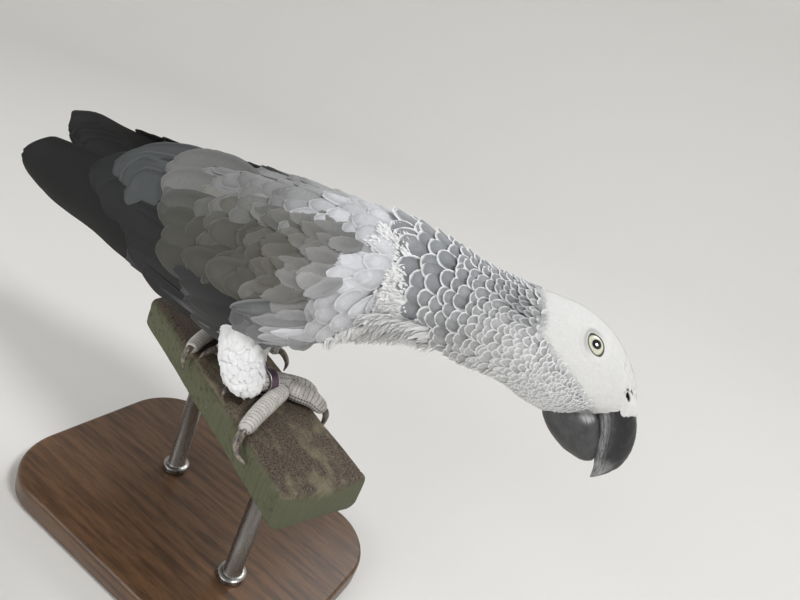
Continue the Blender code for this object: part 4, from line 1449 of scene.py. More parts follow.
def make_bill(colours):
    """The hooked upper bill with its notch and ridges over the cupped lower one."""
    finish = bill_finish(colours)
    t, turn, rings = horn_rings(UPPER_BILL, 150, 96)
    end = len(UPPER_BILL) - 1
    from_top = np.minimum(turn, 2 * math.pi - turn)
    from_edge = np.abs(from_top - math.pi)
    lines = growth_lines(t, turn, 7)
    culmen = 0.35 * np.exp(-((from_top / 0.28) ** 2))
    groove = -0.35 * np.exp(-(((from_edge - 1) / 0.16) ** 2)) * smooth((end - 2 - t) / 2)
    notch = -0.7 * np.exp(-(((t - 3.6) / 0.35) ** 2)) * smooth((-np.cos(turn) - 0.2) / 0.6)
    fade = smooth((end - t) / 1.6)
    relief = (0.09 * lines + 0.10 * level_noise(rings, 5, 8) + culmen + groove) * fade + notch
    points, faces = closed_tube(worked(rings, relief))
    strip = np.exp(-(((from_edge - 0.70) / 0.36) ** 2)) * smooth((t - 1.2) / 1)
    strip = np.maximum(strip, smooth((t - end + 3.2) / 1.4) * smooth((from_top - 0.7) / 0.5))
    upper = make_piece(
        "upper_bill", points, faces, finish, "horn", values=horn_values(t, turn, strip, 0 * strip)
    )
    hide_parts("bill_upper")

    t, turn, rings = horn_rings(LOWER_BILL, 90, 84)
    lines = growth_lines(t, turn, 9)
    ahead, _, up = from_head(rings)
    pale = smooth(2.2 * np.exp(-(((ahead - 21.5) / 4.2) ** 2) - ((up + 16.8) / 3.6) ** 2) - 0.4)
    points, faces = closed_tube(worked(rings, 0.08 * lines + 0.08 * level_noise(rings, 4, 10)))
    values = horn_values(t, turn, pale, 0.55 + 0 * pale)
    lower = make_piece("lower_bill", points, faces, finish, "horn", values=values)
    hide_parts("bill_lower")


def horn_values(t, turn, strip, grey):
    """Values at the rings' points and at the two end points that close them."""
    both = {"along": t + 0 * turn, "round": 2.2 * turn + 0 * t, "strip": strip, "grey": grey}
    return {
        key: np.concatenate([value.ravel(), value[[0, -1], 0]]) for key, value in both.items()
    }


def bill_finish(colours):
    """Black horn with a dull grey bloom, a scuffed pale strip, and scratches along its length."""
    made = Finish("bill_horn", 0.42, 0.5)
    where = made.node("CombineXYZ", {0: made.attribute("along"), 1: made.attribute("round")})
    streaks = made.stretched_noise(where, (1.1, 5.5, 1), 5, 0.65)
    scratches = made.stretched_noise(where, (2.2, 24, 1), 4, 0.7)
    cloud = made.noise(made.place(), 200, 4, 0.65)
    strip = made.math("MULTIPLY", made.attribute("strip"), made.ramp(streaks, 0.34, 0.6))
    bloom = made.math("MULTIPLY", made.attribute("grey"), made.ramp(cloud, 0.3, 0.7, 0.45, 1))
    lines = made.ramp(scratches, 0.60, 0.74, 0, 0.5)
    strip = made.math("ADD", strip, lines)
    strip.node.use_clamp = True
    dust = made.math("MAXIMUM", strip, bloom)
    horn = made.mix(bloom, colours.horn, scaled(colours.horn_dust, 0.3))
    made.feed("Base Color", made.mix(strip, horn, colours.horn_dust))
    made.feed("Roughness", made.ramp(dust, 0, 1, 0.30, 0.62))
    made.bump(made.math("ADD", streaks, scratches), 0.0003, 0.6)
    return made.material


def make_cere(colours):
    """Bare skin over the bill's root with a nostril pit on each side, and small vanes behind it."""
    t, _, rings = horn_rings(CERE, 90, 160)
    ahead, _, up = from_head(rings)
    end = len(CERE) - 1
    ragged = level_noise(rings, 2.2, SEED + 94)
    swell = 0.15 * np.sin(math.pi * t / end) - 0.9 * smooth((t + 0.35 * ragged - end + 0.8) / 0.5)
    wrinkle = 0.09 * level_noise(rings, 2.4, SEED + 95) + 0.06 * level_noise(rings, 6, SEED + 96)
    x, z = ahead - NOSTRIL[0], up - NOSTRIL[1]
    long_way, short_way = 0.85 * x - 0.52 * z, 0.52 * x + 0.85 * z
    from_hole = np.sqrt((long_way / 1.6) ** 2 + (short_way / 0.75) ** 2)
    pit = -2.4 * smooth((1.3 - from_hole) / 0.6) + 0.12 * np.exp(-(((from_hole - 1.65) / 0.4) ** 2))
    points, faces = closed_tube(worked(rings, swell + wrinkle + pit))
    hole = np.concatenate([from_hole.ravel(), [9, 9]])
    cere = make_piece("cere_skin", points, faces, cere_finish(colours), "bare_skin", values={"hole": hole})
    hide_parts("cere")

    random = np.random.default_rng(SEED + 97)
    form = Form(lambda t, around: oval(CERE_STATIONS, t, around, droop=0))
    size = lambda *place: FACE_ROW
    limit = math.radians(125)
    t, around = rows_of_roots(form, 3.3, 0.2, -limit, limit, size, size, random, 0.35)
    roots = form.place(t, around)
    keep = bare_spots(roots, 2.6) & (t + 0.3 * random.normal(size=len(t)) < 2.3)
    t, around, roots = t[keep], around[keep], roots[keep]
    vary = draws(random, len(t))
    coat = Coat(form, -1, 5, 2, SEED + 98)
    coat.lay(
        t, around, 2.6 * (1 + vary(0.15)), 1.6, coat_colour(roots, colours),
        (on_map(t, 0.2, 3.3), on_map(around, -limit, limit)), heading=vary(0.2), low=-0.1, high=0.14,
        cup=0, fray=0.06, rim_share=0, shape=(0.4, 0.4, 0.2), thickness=0.03, tilt=vary(0.01),
        jitter=0.01,
    )
    coat.make("cere_feathers", plumage_finish("cere_feathers_finish", 0.3, 0.85, 0, 0.3), "white_plumage")


def cere_finish(colours):
    """Whitish skin with fine flakes, and painted shade, nearly black, inside the nostrils."""
    made = Finish("cere_skin", 0.6, 0.3)
    flakes = made.noise(made.place(), 1500, 4, 0.65)
    cloud = made.noise(made.place(), 350, 2)
    paler = scaled(colours.bare_skin, 0.92)
    pale = made.mix(made.ramp(cloud, 0.3, 0.7), colours.bare_skin, paler)
    # Painted shade: nearly black inside each nostril's pit.
    hole = made.ramp(made.attribute("hole"), 1.05, 1.35, 1, 0)
    made.feed("Base Color", made.mix(hole, pale, (0.02, 0.018, 0.018)))
    made.bump(flakes, 0.0002, 0.8)
    return made.material


# --- Feet -------------------------------------------------

# Shank, toes and claws: centre x, y, z and radius. Toes 4 and 1 reach back, 2 and 3 forward.
TOES = {
    "right": {
        "shank": ((-4.4, -21, 9, 5.2), (-2.6, -12, 9.2, 4.8), (0, -3, 6.8, 5.4), (1.6, 3, 5.4, 4.6)),
        "toe_2": ((0.6, 4, 5, 4.4), (4.5, 8.2, 4.8, 4.1), (8.6, 11.4, 4.4, 3.8), (12.4, 14.2, 1.8, 3.4)),
        "toe_3": ((3, 0, 5.2, 4.8), (10.5, 2.6, 4.9, 4.5), (17.5, 5.6, 4.7, 4.2), (23, 8.4, 1.8, 3.5)),
        "toe_4": ((5, -5, 5, 4.7), (7.6, -16, 4.9, 4.5), (10.4, -28, 4.7, 4.2), (13.2, -38.4, 3.6, 3.4)),
        "toe_1": ((-3.4, -4.5, 3.8, 3.8), (-9, -11.5, 3.6, 3.5), (-11.4, -19.6, 3.8, 3.2)),
    },
    "left": {
        "shank": ((-47.6, 10.4, 9, 5.2), (-45.5, 18, 8.2, 4.9), (-43.5, 25, 6.4, 5.4),
            (-42, 29, 5.4, 4.6)),
        "toe_2": ((-43.4, 29.6, 5, 4.4), (-42.4, 34, 2.8, 3.6)),
        "toe_3": ((-38.5, 26, 5, 4.6), (-31.5, 27.2, 4.6, 4.2), (-24.8, 27.8, 2.6, 3.4)),
        "toe_4": ((-39.4, 21, 4.8, 4.4), (-37, 12, 4.6, 4.2), (-36.6, 3, 4.4, 4),
            (-37.4, -4.6, 3.8, 3.3)),
        "toe_1": ((-49.4, 20, 4.6, 4.2), (-52.4, 8, 4.4, 4), (-50, -5, 4.2, 3.7), (-46.4, -15, 3.6, 3.2)),
    },
}
CLAWS = {
    "right": {
        "toe_2": ((11.6, 13.6, 2.6, 2), (14.8, 16.4, 0.2, 1.7), (15.8, 17.6, -4.8, 1.2),
            (15.4, 17.4, -9.6, 0.4)),
        "toe_3": ((22.2, 8, 2.6, 2.2), (25.8, 9.9, -0.6, 1.8), (26.2, 10.6, -6, 1.3),
            (25.2, 10.6, -11, 0.4)),
        "toe_4": ((13, -37.8, 3.8, 2.1), (14.2, -43.2, -0.6, 1.9), (17.2, -44.6, -5.4, 1.4),
            (22.4, -44.2, -7.8, 0.4)),
        "toe_1": ((-11.2, -18.8, 4.4, 1.9), (-11.8, -23.6, 4.8, 1.6), (-10.8, -27.6, 3.2, 1.1),
            (-9.6, -29.2, 0.8, 0.4)),
    },
    "left": {
        "toe_2": ((-42.6, 33, 3.6, 2), (-41.6, 37.4, 1, 1.7), (-40.8, 38.6, -4, 1.2),
            (-41, 38.2, -9, 0.4)),
        "toe_3": ((-25.8, 27.8, 3.4, 2.1), (-20.6, 29.4, 2, 1.8), (-17.4, 31.4, -3.2, 1.3),
            (-17.6, 31.8, -9, 0.4)),
        "toe_4": ((-37.3, -3.6, 4.4, 2), (-38.2, -9.4, 5, 1.7), (-38.8, -14, 3.6, 1.2),
            (-39.2, -16.2, 1, 0.4)),
        "toe_1": ((-46.7, -14, 4.2, 2), (-45.4, -19.4, 2.8, 1.7), (-44.6, -20.8, -2, 1.2),
            (-43.8, -20.2, -7, 0.4)),
    },
}
FOOT_VOXEL = 0.38
RING_PLACE = np.array([-2.2, -9.8, 9])
RING_HEADING = (0.2, 1, -0.12)
RING_RADIUS, RING_WALL = 6.9, 0.8


def path_frames(rows, steps):
    """Points with radius along the path, its heading, and two ways across it.

    Every ring keeps the same side: square to the path's first and last points seen from above.
    """
    found = spline(rows, np.linspace(0, len(rows) - 1, steps))
    centre = found[:, :3]
    side = np.cross([0, 0, 1], centre[-1] - centre[0])
    after = np.concatenate([centre[1:], centre[-1:]])
    before = np.concatenate([centre[:1], centre[:-1]])
    ahead = unit(after - before)
    left = unit(side - (ahead @ side)[:, None] * ahead)
    return found, ahead, left, np.cross(ahead, left)


def path_rings(rows, steps, around, grow=0):
    found, _, left, up = path_frames(rows, steps)
    turn = circle(around)
    radius = found[:, 3] + grow
    ring = left[:, None] * np.cos(turn)[:, None] + up[:, None] * np.sin(turn)[:, None]
    return found[:, None, :3] + ring * radius[:, None, None]


def round_end(rows, reach=0.75):
    """The rows with one more, a little further on and thinner, so that the end is rounded."""
    last, before = np.array(rows[-1]), np.array(rows[-2])
    way = unit(last[:3] - before[:3])
    return np.vstack([rows, [*(last[:3] + way * last[3] * reach), last[3] * 0.35]])


def make_foot(side, colours, sizes):
    """Shank and toes as one closed skin, with plates worked into it along every toe."""
    parts = [path_rings(round_end(rows), 10 * len(rows), 28) for rows in TOES[side].values()]
    foot = make_piece(f"foot_{side}", *several(parts), foot_finish(colours), "scaly_skin")
    one_skin(foot, FOOT_VOXEL, 6)
    place = points_of(foot.data)
    height, crack = foot_relief(place, side, sizes.plate / MM)
    normals = np.empty(len(place) * 3, np.float32)
    foot.data.vertices.foreach_get("normal", normals)
    move_points(foot.data, place + normals.reshape(-1, 3) * height[:, None])
    add_value(foot.data, "crack", crack)
    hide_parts(*(f"{part}_{side}" for part in TOES[side]))


def foot_relief(place, side, plate_length):
    """Height and crack depth at each point, from the nearest part's own length and turn.

    Plates are |sin| along a toe's back, broken into small round scales on its sides and sole.
    """
    best = np.full(len(place), 1e9)
    height = np.zeros(len(place))
    crack = np.zeros(len(place))
    for number, (part, rows) in enumerate(TOES[side].items()):
        found, ahead, left, up = path_frames(rows, 160)
        length = np.concatenate([[0], np.cumsum(np.linalg.norm(np.diff(found[:, :3], axis=0), axis=1))])
        away = np.linalg.norm(place[:, None] - found[None, :, :3], axis=-1)
        nearest = away.argmin(1)
        gap = away[np.arange(len(place)), nearest] / found[nearest, 3]
        off = place - found[nearest, :3]
        along = length[nearest] + (off * ahead[nearest]).sum(1)
        high = np.where(up[nearest][:, 2] > 0, 1, -1)
        turn = np.arctan2((off * up[nearest]).sum(1) * high, (off * left[nearest]).sum(1))
        wave = np.abs(np.sin(math.pi * along / plate_length + 0.35 * np.cos(turn) + number))
        plate = 1 - (1 - wave) ** 4
        cells = np.abs(np.sin(math.pi * along / 1.5 + number)) * np.abs(np.sin(turn * 6))
        cell = 1 - (1 - cells) ** 5
        back = smooth((np.sin(turn) - 0.05) / 0.3) * (0.35 if part == "shank" else 1)
        relief = plate * back + cell * (1 - back)
        nearer = gap < best
        best = np.where(nearer, gap, best)
        height = np.where(nearer, 0.40 * relief - 0.22, height)
        crack = np.where(nearer, 1 - relief, crack)
    return height, crack


def foot_finish(colours):
    """Pale plates with a fine grain, and brown in the cracks between them."""
    made = Finish("scaly_foot", 0.62, 0.3)
    grain = made.noise(made.place(), 1100, 4, 0.6)
    cloud = made.noise(made.place(), 180, 2)
    pale = made.mix(made.ramp(cloud, 0.3, 0.7), colours.foot, scaled(colours.foot, 0.75))
    wobble = made.math("ADD", made.attribute("crack"), made.math("MULTIPLY", grain, 0.25))
    deep = made.ramp(wobble, 0.30, 0.85, 0, 0.9)
    made.feed("Base Color", made.mix(deep, pale, (0.10, 0.065, 0.05)))
    made.bump(grain, 0.0003, 0.6)
    return made.material


def make_claws(side, colours):
    """Tapered hooks: a round section carried along each claw's path, with a slightly uneven face."""
    parts = [path_rings(rows, 28, 18) for rows in CLAWS[side].values()]
    parts = [worked(rings, 0.04 * level_noise(rings, 1.6, SEED + 98)) for rings in parts]
    claws = make_piece(f"claws_{side}", *several(parts), claw_finish(colours), "claw_horn")
    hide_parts(*(f"claw_{part[-1]}_{side}" for part in CLAWS[side]))


def claw_finish(colours):
    """Dark horn clouded with brown, under a thin gloss."""
    made = Finish("claw_horn", 0.28, 0.5, Coat_Weight=0.3, Coat_Roughness=0.2)
    cloud = made.noise(made.place(), 420, 4, 0.6)
    made.feed("Base Color", made.mix(made.ramp(cloud, 0.35, 0.7), colours.claw, (0.30, 0.25, 0.20)))
    made.bump(cloud, 0.0001, 0.4)
    return made.material


def make_leg_ring(colours, sizes):
    """A plain closed band: a rounded rectangle turned about the shank."""
    axis = unit(RING_HEADING)
    side = unit(np.cross(axis, [0, 0, 1]))
    over = np.cross(side, axis)
    turn = circle(96)[:, None]
    corner = circle(40)[None]
    middle, half = RING_RADIUS - RING_WALL / 2, sizes.ring_width / MM / 2
    squeeze = lambda wave: np.sign(wave) * np.abs(wave) ** 0.45
    radius = middle + RING_WALL / 2 * squeeze(np.cos(corner))
    shift = half * squeeze(np.sin(corner))
    outward = side * np.cos(turn)[..., None] + over * np.sin(turn)[..., None]
    rings = RING_PLACE + shift[..., None] * axis + radius[..., None] * outward
    made = Finish("ring_metal", 0.36, Metallic=1)
    wear = made.noise(made.place(), 900, 5, 0.7)
    rim = np.abs(shift) / half * np.ones_like(turn)
    edge = made.ramp(made.math("ADD", made.attribute("rim"), made.math("MULTIPLY", wear, 0.3)), 1, 1.2)
    made.feed("Base Color", made.mix(edge, colours.ring, (0.62, 0.60, 0.62)))
    made.feed("Roughness", made.ramp(wear, 0.3, 0.7, 0.28, 0.5))
    made.bump(wear, 0.00006, 0.5)
    values = {"rim": rim.ravel()}
    points = rings.reshape(-1, 3)
    ring = make_piece(
        "leg_band", points, closed_ring(rings), made.material, "ring_metal", values=values
    )
    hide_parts("leg_ring")


# --- Beam and stand ---------------------------------------

BEAM_SIZE = (160, 47, 21)
BEAM_HEADING = math.radians(158.5)
BEAM_MIDDLE = (-17.1, -2.4)
ROD_RADIUS = 5


def rounded_outline(half_x, half_y, radius, corner_steps, side_steps):
    """A rectangle's outline with round corners, anticlockwise from the middle of its +X side."""
    points = []
    turn = np.linspace(0, math.pi / 2, corner_steps)
    for number, (sx, sy) in enumerate(((1, 1), (-1, 1), (-1, -1), (1, -1))):
        angle = turn + number * math.pi / 2
        middle = np.array([sx * (half_x - radius), sy * (half_y - radius)])
        points.append(middle + radius * np.stack([np.cos(angle), np.sin(angle)], 1))
    runs = []
    for number, corner in enumerate(points):
        after = points[(number + 1) % 4][0]
        share = np.linspace(0, 1, side_steps, endpoint=False)[1:, None]
        runs += [corner, corner[-1] + (after - corner[-1]) * share]
    return np.concatenate(runs)


def make_beam(colours, sizes):
    """The cut length of beam: a rounded rectangle carried along it, dented, pitted and worn."""
    length, wide, deep = BEAM_SIZE
    outline = rounded_outline(wide / 2, deep / 2, sizes.beam_edge / MM, 10, 40)
    along = np.linspace(-length / 2, length / 2, 260)
    x = along[:, None] * np.ones(len(outline))
    y, z = (outline[:, axis][None] * np.ones_like(x) for axis in (0, 1))
    local = np.stack([x, y, z], -1)
    inset = np.stack([0 * y, -y / (wide / 2), -z / (deep / 2)], -1)
    end = smooth((np.abs(x) - (length / 2 - 1)) / 1) * 0.8
    dents = level_noise(local * (0.35, 1, 1), 13, SEED + 100, 4)
    pits = np.maximum(level_noise(local, 5, SEED + 101, 3) - 0.55, 0)
    depth = end + 0.28 * (dents + 1) * 0.6 + 0.9 * pits
    local = local + inset * depth[..., None]
    cosine, sine = math.cos(BEAM_HEADING), math.sin(BEAM_HEADING)
    x, y = local[..., 0], local[..., 1]
    turned = np.stack([x * cosine - y * sine, x * sine + y * cosine], -1)
    rings = np.concatenate([turned, local[..., 2:]], -1) + (*BEAM_MIDDLE, -deep / 2)
    points, faces = closed_tube(rings)
    flat = np.concatenate([local.reshape(-1, 3), [[-length / 2, 0, 0], [length / 2, 0, 0]]])
    top = smooth((flat[:, 2] - deep / 2 + 3) / 2)
    values = {"across": flat[:, 1], "along": flat[:, 0], "top": top}
    finish = beam_finish(colours)
    beam = make_piece("beam", points, faces, finish, "weathered_beam", values=values, sharp=50)
    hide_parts("perch_beam")


def beam_finish(colours):
    """Olive paint worn through on top to a scratched brown and black, with pale scuffs."""
    made = Finish("weathered_beam", 0.75, 0.35)
    where = made.node(
        "CombineXYZ", {n: made.attribute(key) for n, key in enumerate(("along", "across", "top"))}
    )
    grain = made.stretched_noise(where, (0.10, 0.9, 1), 6, 0.7)
    speck = made.stretched_noise(where, (0.9, 1.1, 1), 5, 0.75)
    patch = made.stretched_noise(where, (0.035, 0.07, 1), 4, 0.6)
    worn = made.mix(made.ramp(speck, 0.38, 0.62), (0.028, 0.024, 0.020), (0.17, 0.13, 0.095))
    worn = made.mix(made.ramp(patch, 0.5, 0.68, 0, 0.6), worn, (0.30, 0.26, 0.17))
    worn = made.mix(made.ramp(grain, 0.62, 0.72, 0, 0.7), worn, (0.36, 0.33, 0.27))
    paint = made.mix(made.ramp(speck, 0.55, 0.7), colours.beam_paint, (0.035, 0.035, 0.025))
    share = made.math("MULTIPLY", made.attribute("top"), made.ramp(patch, 0.2, 0.45, 0.75, 1))
    made.feed("Base Color", made.mix(share, paint, worn))
    made.feed("Roughness", made.ramp(speck, 0.3, 0.7, 0.55, 0.85))
    made.bump(made.math("ADD", grain, speck), 0.0006, 0.7)
    return made.material


def turned(middle, profile, around=64):
    """A closed solid turned about an upright axis, through radius and height pairs."""
    turn = circle(around)
    radius, height = np.array(profile, float).T
    ring = np.stack([np.cos(turn), np.sin(turn), 0 * turn], 1)
    return middle + ring[None] * radius[:, None, None] + np.array([0, 0, 1]) * height[:, None, None]


def make_stand(colours, sizes):
    """The wooden base with its rounded edge, and two metal rods with a small collar at each end."""
    low, high = (np.array(corner) / MM - RIGHT_FOOT for corner in BASE_BOX)
    half = (high - low) / 2
    middle = (high + low) / 2
    steps = np.linspace(0, math.pi / 2, 9)
    edge, corner = sizes.base_edge / MM, sizes.base_corner / MM
    levels = [(edge * (1 - math.sin(a)), -half[2] + edge * (1 - math.cos(a))) for a in steps]
    levels += [(inset, -level) for inset, level in reversed(levels)]
    rings = []
    for inset, level in levels:
        outline = rounded_outline(half[0] - inset, half[1] - inset, corner - inset, 16, 30)
        rings.append(np.column_stack([outline, np.full(len(outline), level)]) + middle)
    points, faces = closed_tube(np.array(rings))
    base = make_piece("stand_plate", points, faces, wood_finish(colours), "stand_wood", sharp=40)
    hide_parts("stand_base")
    metal = rod_finish()
    for number in (1, 2):
        node = f"stand_rod_{number}"
        low_rod, high_rod = (np.array(corner) / MM - RIGHT_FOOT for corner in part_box(node))
        foot = (low_rod + high_rod) / 2
        foot[2] = low_rod[2]
        tall = high_rod[2] - low_rod[2]
        collar, lip = ROD_RADIUS + 2.6, 0.6
        profile = [
            (0.1, 0),
            (collar - lip, 0),
            (collar, lip),
            (collar, 3),
            (collar - lip, 3.6),
            (ROD_RADIUS + 0.4, 3.9),
            (ROD_RADIUS, 4.6),
        ]
        profile += [(radius, tall - level) for radius, level in reversed(profile)]
        points, faces = closed_tube(turned(foot, profile))
        rod = make_piece(f"stand_post_{number}", points, faces, metal, "stand_metal", sharp=40)
        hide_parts(node)


def wood_finish(colours):
    """Dark close-grained wood under a thin satin varnish."""
    made = Finish("stand_wood", 0.38, 0.4, Coat_Weight=0.25, Coat_Roughness=0.25)
    long_way = made.place(scale=(26, 300, 300))
    grain = made.noise(long_way, 1, 6, 0.65)
    pores = made.noise(made.place(scale=(200, 2600, 2600)), 1, 2)
    darker = scaled(colours.stand_wood, 0.42)
    wood = made.mix(made.ramp(grain, 0.35, 0.68), colours.stand_wood, darker)
    made.feed("Base Color", made.mix(made.ramp(pores, 0.62, 0.7, 0, 0.6), wood, (0.02, 0.012, 0.008)))
    made.bump(pores, 0.0001, 0.5)
    return made.material


def rod_finish():
    made = Finish("stand_metal", 0.3, Metallic=1)
    brushed = made.noise(made.place(scale=(900, 900, 60)), 1, 3)
    made.feed("Base Color", made.mix(made.ramp(brushed, 0.3, 0.7), (0.42, 0.41, 0.39), (0.30, 0.29, 0.28)))
    made.feed("Roughness", made.ramp(brushed, 0.3, 0.7, 0.24, 0.38))
    made.bump(brushed, 0.00002, 0.4)
    return made.material


# --- Stage and camera -------------------------------------

CAMERA_PLACE = (0.149, -0.229, 0.284)
CAMERA_RIGHT = (0.816, 0.446, 0.368)
CAMERA_UP = (-0.482, 0.172, 0.859)
CAMERA_BACK = (0.320, -0.879, 0.355)
CAMERA_LENS = 26

FLOOR_RADIUS = 2.4
FLOOR_CURVE = 0.9
WALL_HEIGHT = 3

# Lamps: name, place, width in metres and power in watts. Each one looks at the bird.
LAMPS = (
    ("key", (1.15, -0.2, 1.75), 0.45, 19),
    ("fill", (-0.5, -1.5, 0.9), 1.2, 11),
    ("back", (0.3, 1.9, 2.2), 1.5, 22),
)


def make_backdrop(colour):
    """A round floor that curves up into a wall: one profile turned about the stand's axis."""
    bend = np.linspace(0, math.pi / 2, 16)
    radius = np.concatenate([[0.02, 0.5, 1.2], FLOOR_RADIUS - FLOOR_CURVE * (1 - np.sin(bend))])
    height = np.concatenate([[0, 0, 0], FLOOR_CURVE * (1 - np.cos(bend))])
    radius = np.append(radius, FLOOR_RADIUS)
    height = np.append(height, WALL_HEIGHT)
    rings = turned(np.zeros(3), np.stack([radius, height], 1), 96)
    points = np.concatenate([rings.reshape(-1, 3), [[0, 0, 0]]])
    faces = grid_faces(len(radius), 96, wrap=True)
    middle = len(points) - 1
    fan = [(i, (i + 1) % 96, middle) for i in range(96)]
    mesh = bpy.data.meshes.new("backdrop")
    mesh.from_pydata(points, [], faces.tolist() + fan)
    mesh.shade_smooth()
    made = Finish("backdrop_paint", 0.9, 0.1)
    made.shader.inputs["Base Color"].default_value = (*colour, 1)
    mesh.materials.append(made.material)
    backdrop = bpy.data.objects.new("backdrop", mesh)
    bpy.context.scene.collection.objects.link(backdrop)


def make_lamps(strength):
    for name, place, width, power in LAMPS:
        data = bpy.data.lights.new(name, "AREA")
        data.shape = "DISK"
        data.size = width
        data.energy = power * strength
        lamp = bpy.data.objects.new(name, data)
        lamp.location = place
        aim = Vector(place) - Vector((0, 0, 0.15))
        lamp.rotation_euler = aim.to_track_quat("Z", "Y").to_euler()
        bpy.context.scene.collection.objects.link(lamp)
    world_light = bpy.data.worlds.new("studio")
    world_light.use_nodes = True
    world_light.node_tree.nodes["Background"].inputs["Color"].default_value = (0.95, 0.97, 1, 1)
    world_light.node_tree.nodes["Background"].inputs["Strength"].default_value = 0.26 * strength
    bpy.context.scene.world = world_light


def make_camera():
    data = bpy.data.cameras.new("camera")
    data.lens = CAMERA_LENS
    data.sensor_width = 36
    data.clip_start = 0.01
    camera = bpy.data.objects.new("camera", data)
    bpy.context.scene.collection.objects.link(camera)
    turn = Matrix((CAMERA_RIGHT, CAMERA_UP, CAMERA_BACK)).transposed()
    camera.matrix_world = Matrix.Translation(CAMERA_PLACE) @ turn.to_quaternion().to_matrix().to_4x4()
    bpy.context.scene.camera = camera
    bpy.context.scene.view_settings.view_transform = "Standard"


# --- Settings ---------------------------------------------


def colour_setting(name, description, default):
    return FloatVectorProperty(
        name=name, description=description, subtype="COLOR", size=3, min=0, max=1, default=default
    )


def size_setting(name, description, default):
    return FloatProperty(
        name=name, description=description, default=default, min=0.0001, max=0.05, unit="LENGTH"
    )


class ParrotSizes(bpy.types.PropertyGroup):
    """Lengths a user would change, in metres."""

    pupil: size_setting("Pupil", "Radius of the pupil", 0.00205)
    iris: size_setting("Iris", "Radius of the ring round the pupil", 0.0049)
    plate: size_setting("Toe plates", "Length of one plate along a toe", 0.00205)
    ring_width: size_setting("Leg ring", "Width of the band on the leg", 0.005)
    beam_edge: size_setting("Beam edges", "Rounding of the beam's long edges", 0.005)
    base_corner: size_setting("Base corners", "Radius of the base's corners", 0.034)
    base_edge: size_setting("Base edge", "Rounding of the base's rim", 0.0025)


class ParrotColours(bpy.types.PropertyGroup):
    """Colours a user would change, as linear values."""

    face: colour_setting("Face", "Short feathers round the eye", (0.74, 0.74, 0.73))
    neck: colour_setting("Neck", "Middle of each neck feather", (0.24, 0.25, 0.265))
    rim: colour_setting("Rims", "Pale edge of each neck feather", (0.80, 0.81, 0.82))
    belly: colour_setting("Belly", "Under the trunk and on the rump", (0.44, 0.45, 0.46))
    mantle: colour_setting("Mantle", "Between the wings", (0.21, 0.215, 0.215))
    shoulder: colour_setting("Shoulder", "Bend of the wing", (0.60, 0.61, 0.64))
    # The wing's middle is its own grey with painted shade and warm light in it: darker and warmer than the
    # feathers are.
    wing_middle: colour_setting("Wing", "Middle of the folded wing", (0.092, 0.087, 0.073))
    band: colour_setting("Wing edge", "Long feathers along the wing's lower edge", (0.17, 0.175, 0.18))
    covert: colour_setting("Great coverts", "Long feathers over the quills", (0.048, 0.048, 0.041))
    tertial: colour_setting("Tertials", "Long feathers over the back", (0.075, 0.081, 0.084))
    # Both quill colours hold painted shade: they are darker than the quills' own dark grey.
    slate: colour_setting("Slate quills", "Inner flight feathers", (0.018, 0.019, 0.0198))
    charcoal: colour_setting("Dark quills", "Outer flight feathers", (0.008, 0.0084, 0.0087))
    down: colour_setting("Down", "Loose white down", (0.88, 0.885, 0.89))
    tail: colour_setting("Tail", "Tail feathers", (0.42, 0.012, 0.012))
    iris: colour_setting("Iris", "Ring round the pupil", (0.82, 0.82, 0.66))
    bare_skin: colour_setting("Bare skin", "Eyelids and cere", (0.74, 0.735, 0.72))
    horn: colour_setting("Bill", "Clean horn", (0.016, 0.016, 0.018))
    horn_dust: colour_setting("Bill dust", "Scuffed horn", (0.42, 0.43, 0.43))
    foot: colour_setting("Feet", "Plates of the toes", (0.66, 0.63, 0.60))
    claw: colour_setting("Claws", "Dark part of the claws", (0.055, 0.045, 0.04))
    ring: colour_setting("Leg ring", "Anodised metal", (0.16, 0.115, 0.15))
    beam_paint: colour_setting("Beam", "Paint left on the beam", (0.105, 0.11, 0.062))
    stand_wood: colour_setting("Stand", "Wood of the base", (0.13, 0.065, 0.03))


class ParrotStudio(bpy.types.PropertyGroup):
    """The backdrop and its light."""

    backdrop: colour_setting("Backdrop", "Floor and wall", (0.74, 0.73, 0.71))
    light: FloatProperty(
        name="Light", description="Strength of all lamps together", default=1, min=0.1, max=5
    )


# --- Operators --------------------------------------------


class PARROT_OT_stage(bpy.types.Operator):
    """Make the backdrop, the lamps and the camera"""

    bl_idname = "parrot.stage"
    bl_label = "Stage"

    def execute(self, context):
        studio = context.scene.parrot_studio
        make_backdrop(studio.backdrop)
        make_lamps(studio.light)
        make_camera()
        return {"FINISHED"}


class PARROT_OT_skin(bpy.types.Operator):
    """Make the one skin under the coat"""

    bl_idname = "parrot.skin"
    bl_label = "Skin"

    def execute(self, context):
        make_skin(context.scene.parrot_colours)
        return {"FINISHED"}


class PARROT_OT_coat(bpy.types.Operator):
    """Lay the small feathers of the face, the neck's scallops and the feathers of the body"""

    bl_idname = "parrot.coat"
    bl_label = "Head, neck and body feathers"

    def execute(self, context):
        colours = context.scene.parrot_colours
        make_face_coat(colours)
        make_neck_coat(colours)
        make_belly_coat(colours)
        make_back_coat(colours, bpy.data.objects["skin"])
        make_thigh_coats(colours)
        return {"FINISHED"}


class PARROT_OT_wings(bpy.types.Operator):
    """Lay the coverts and quills of both folded wings"""

    bl_idname = "parrot.wings"
    bl_label = "Wings"

    def execute(self, context):
        for side in WINGS:
            make_wing_coverts(side, context.scene.parrot_colours)
            make_wing_quills(side, context.scene.parrot_colours)
        return {"FINISHED"}


class PARROT_OT_down(bpy.types.Operator):
    """Lay the loose down round the wings and under the neck"""

    bl_idname = "parrot.down"
    bl_label = "Down"

    def execute(self, context):
        make_down(context.scene.parrot_colours)
        return {"FINISHED"}


class PARROT_OT_tail(bpy.types.Operator):
    """Lay the scarlet tail"""

    bl_idname = "parrot.tail"
    bl_label = "Tail"

    def execute(self, context):
        make_tail(context.scene.parrot_colours)
        return {"FINISHED"}


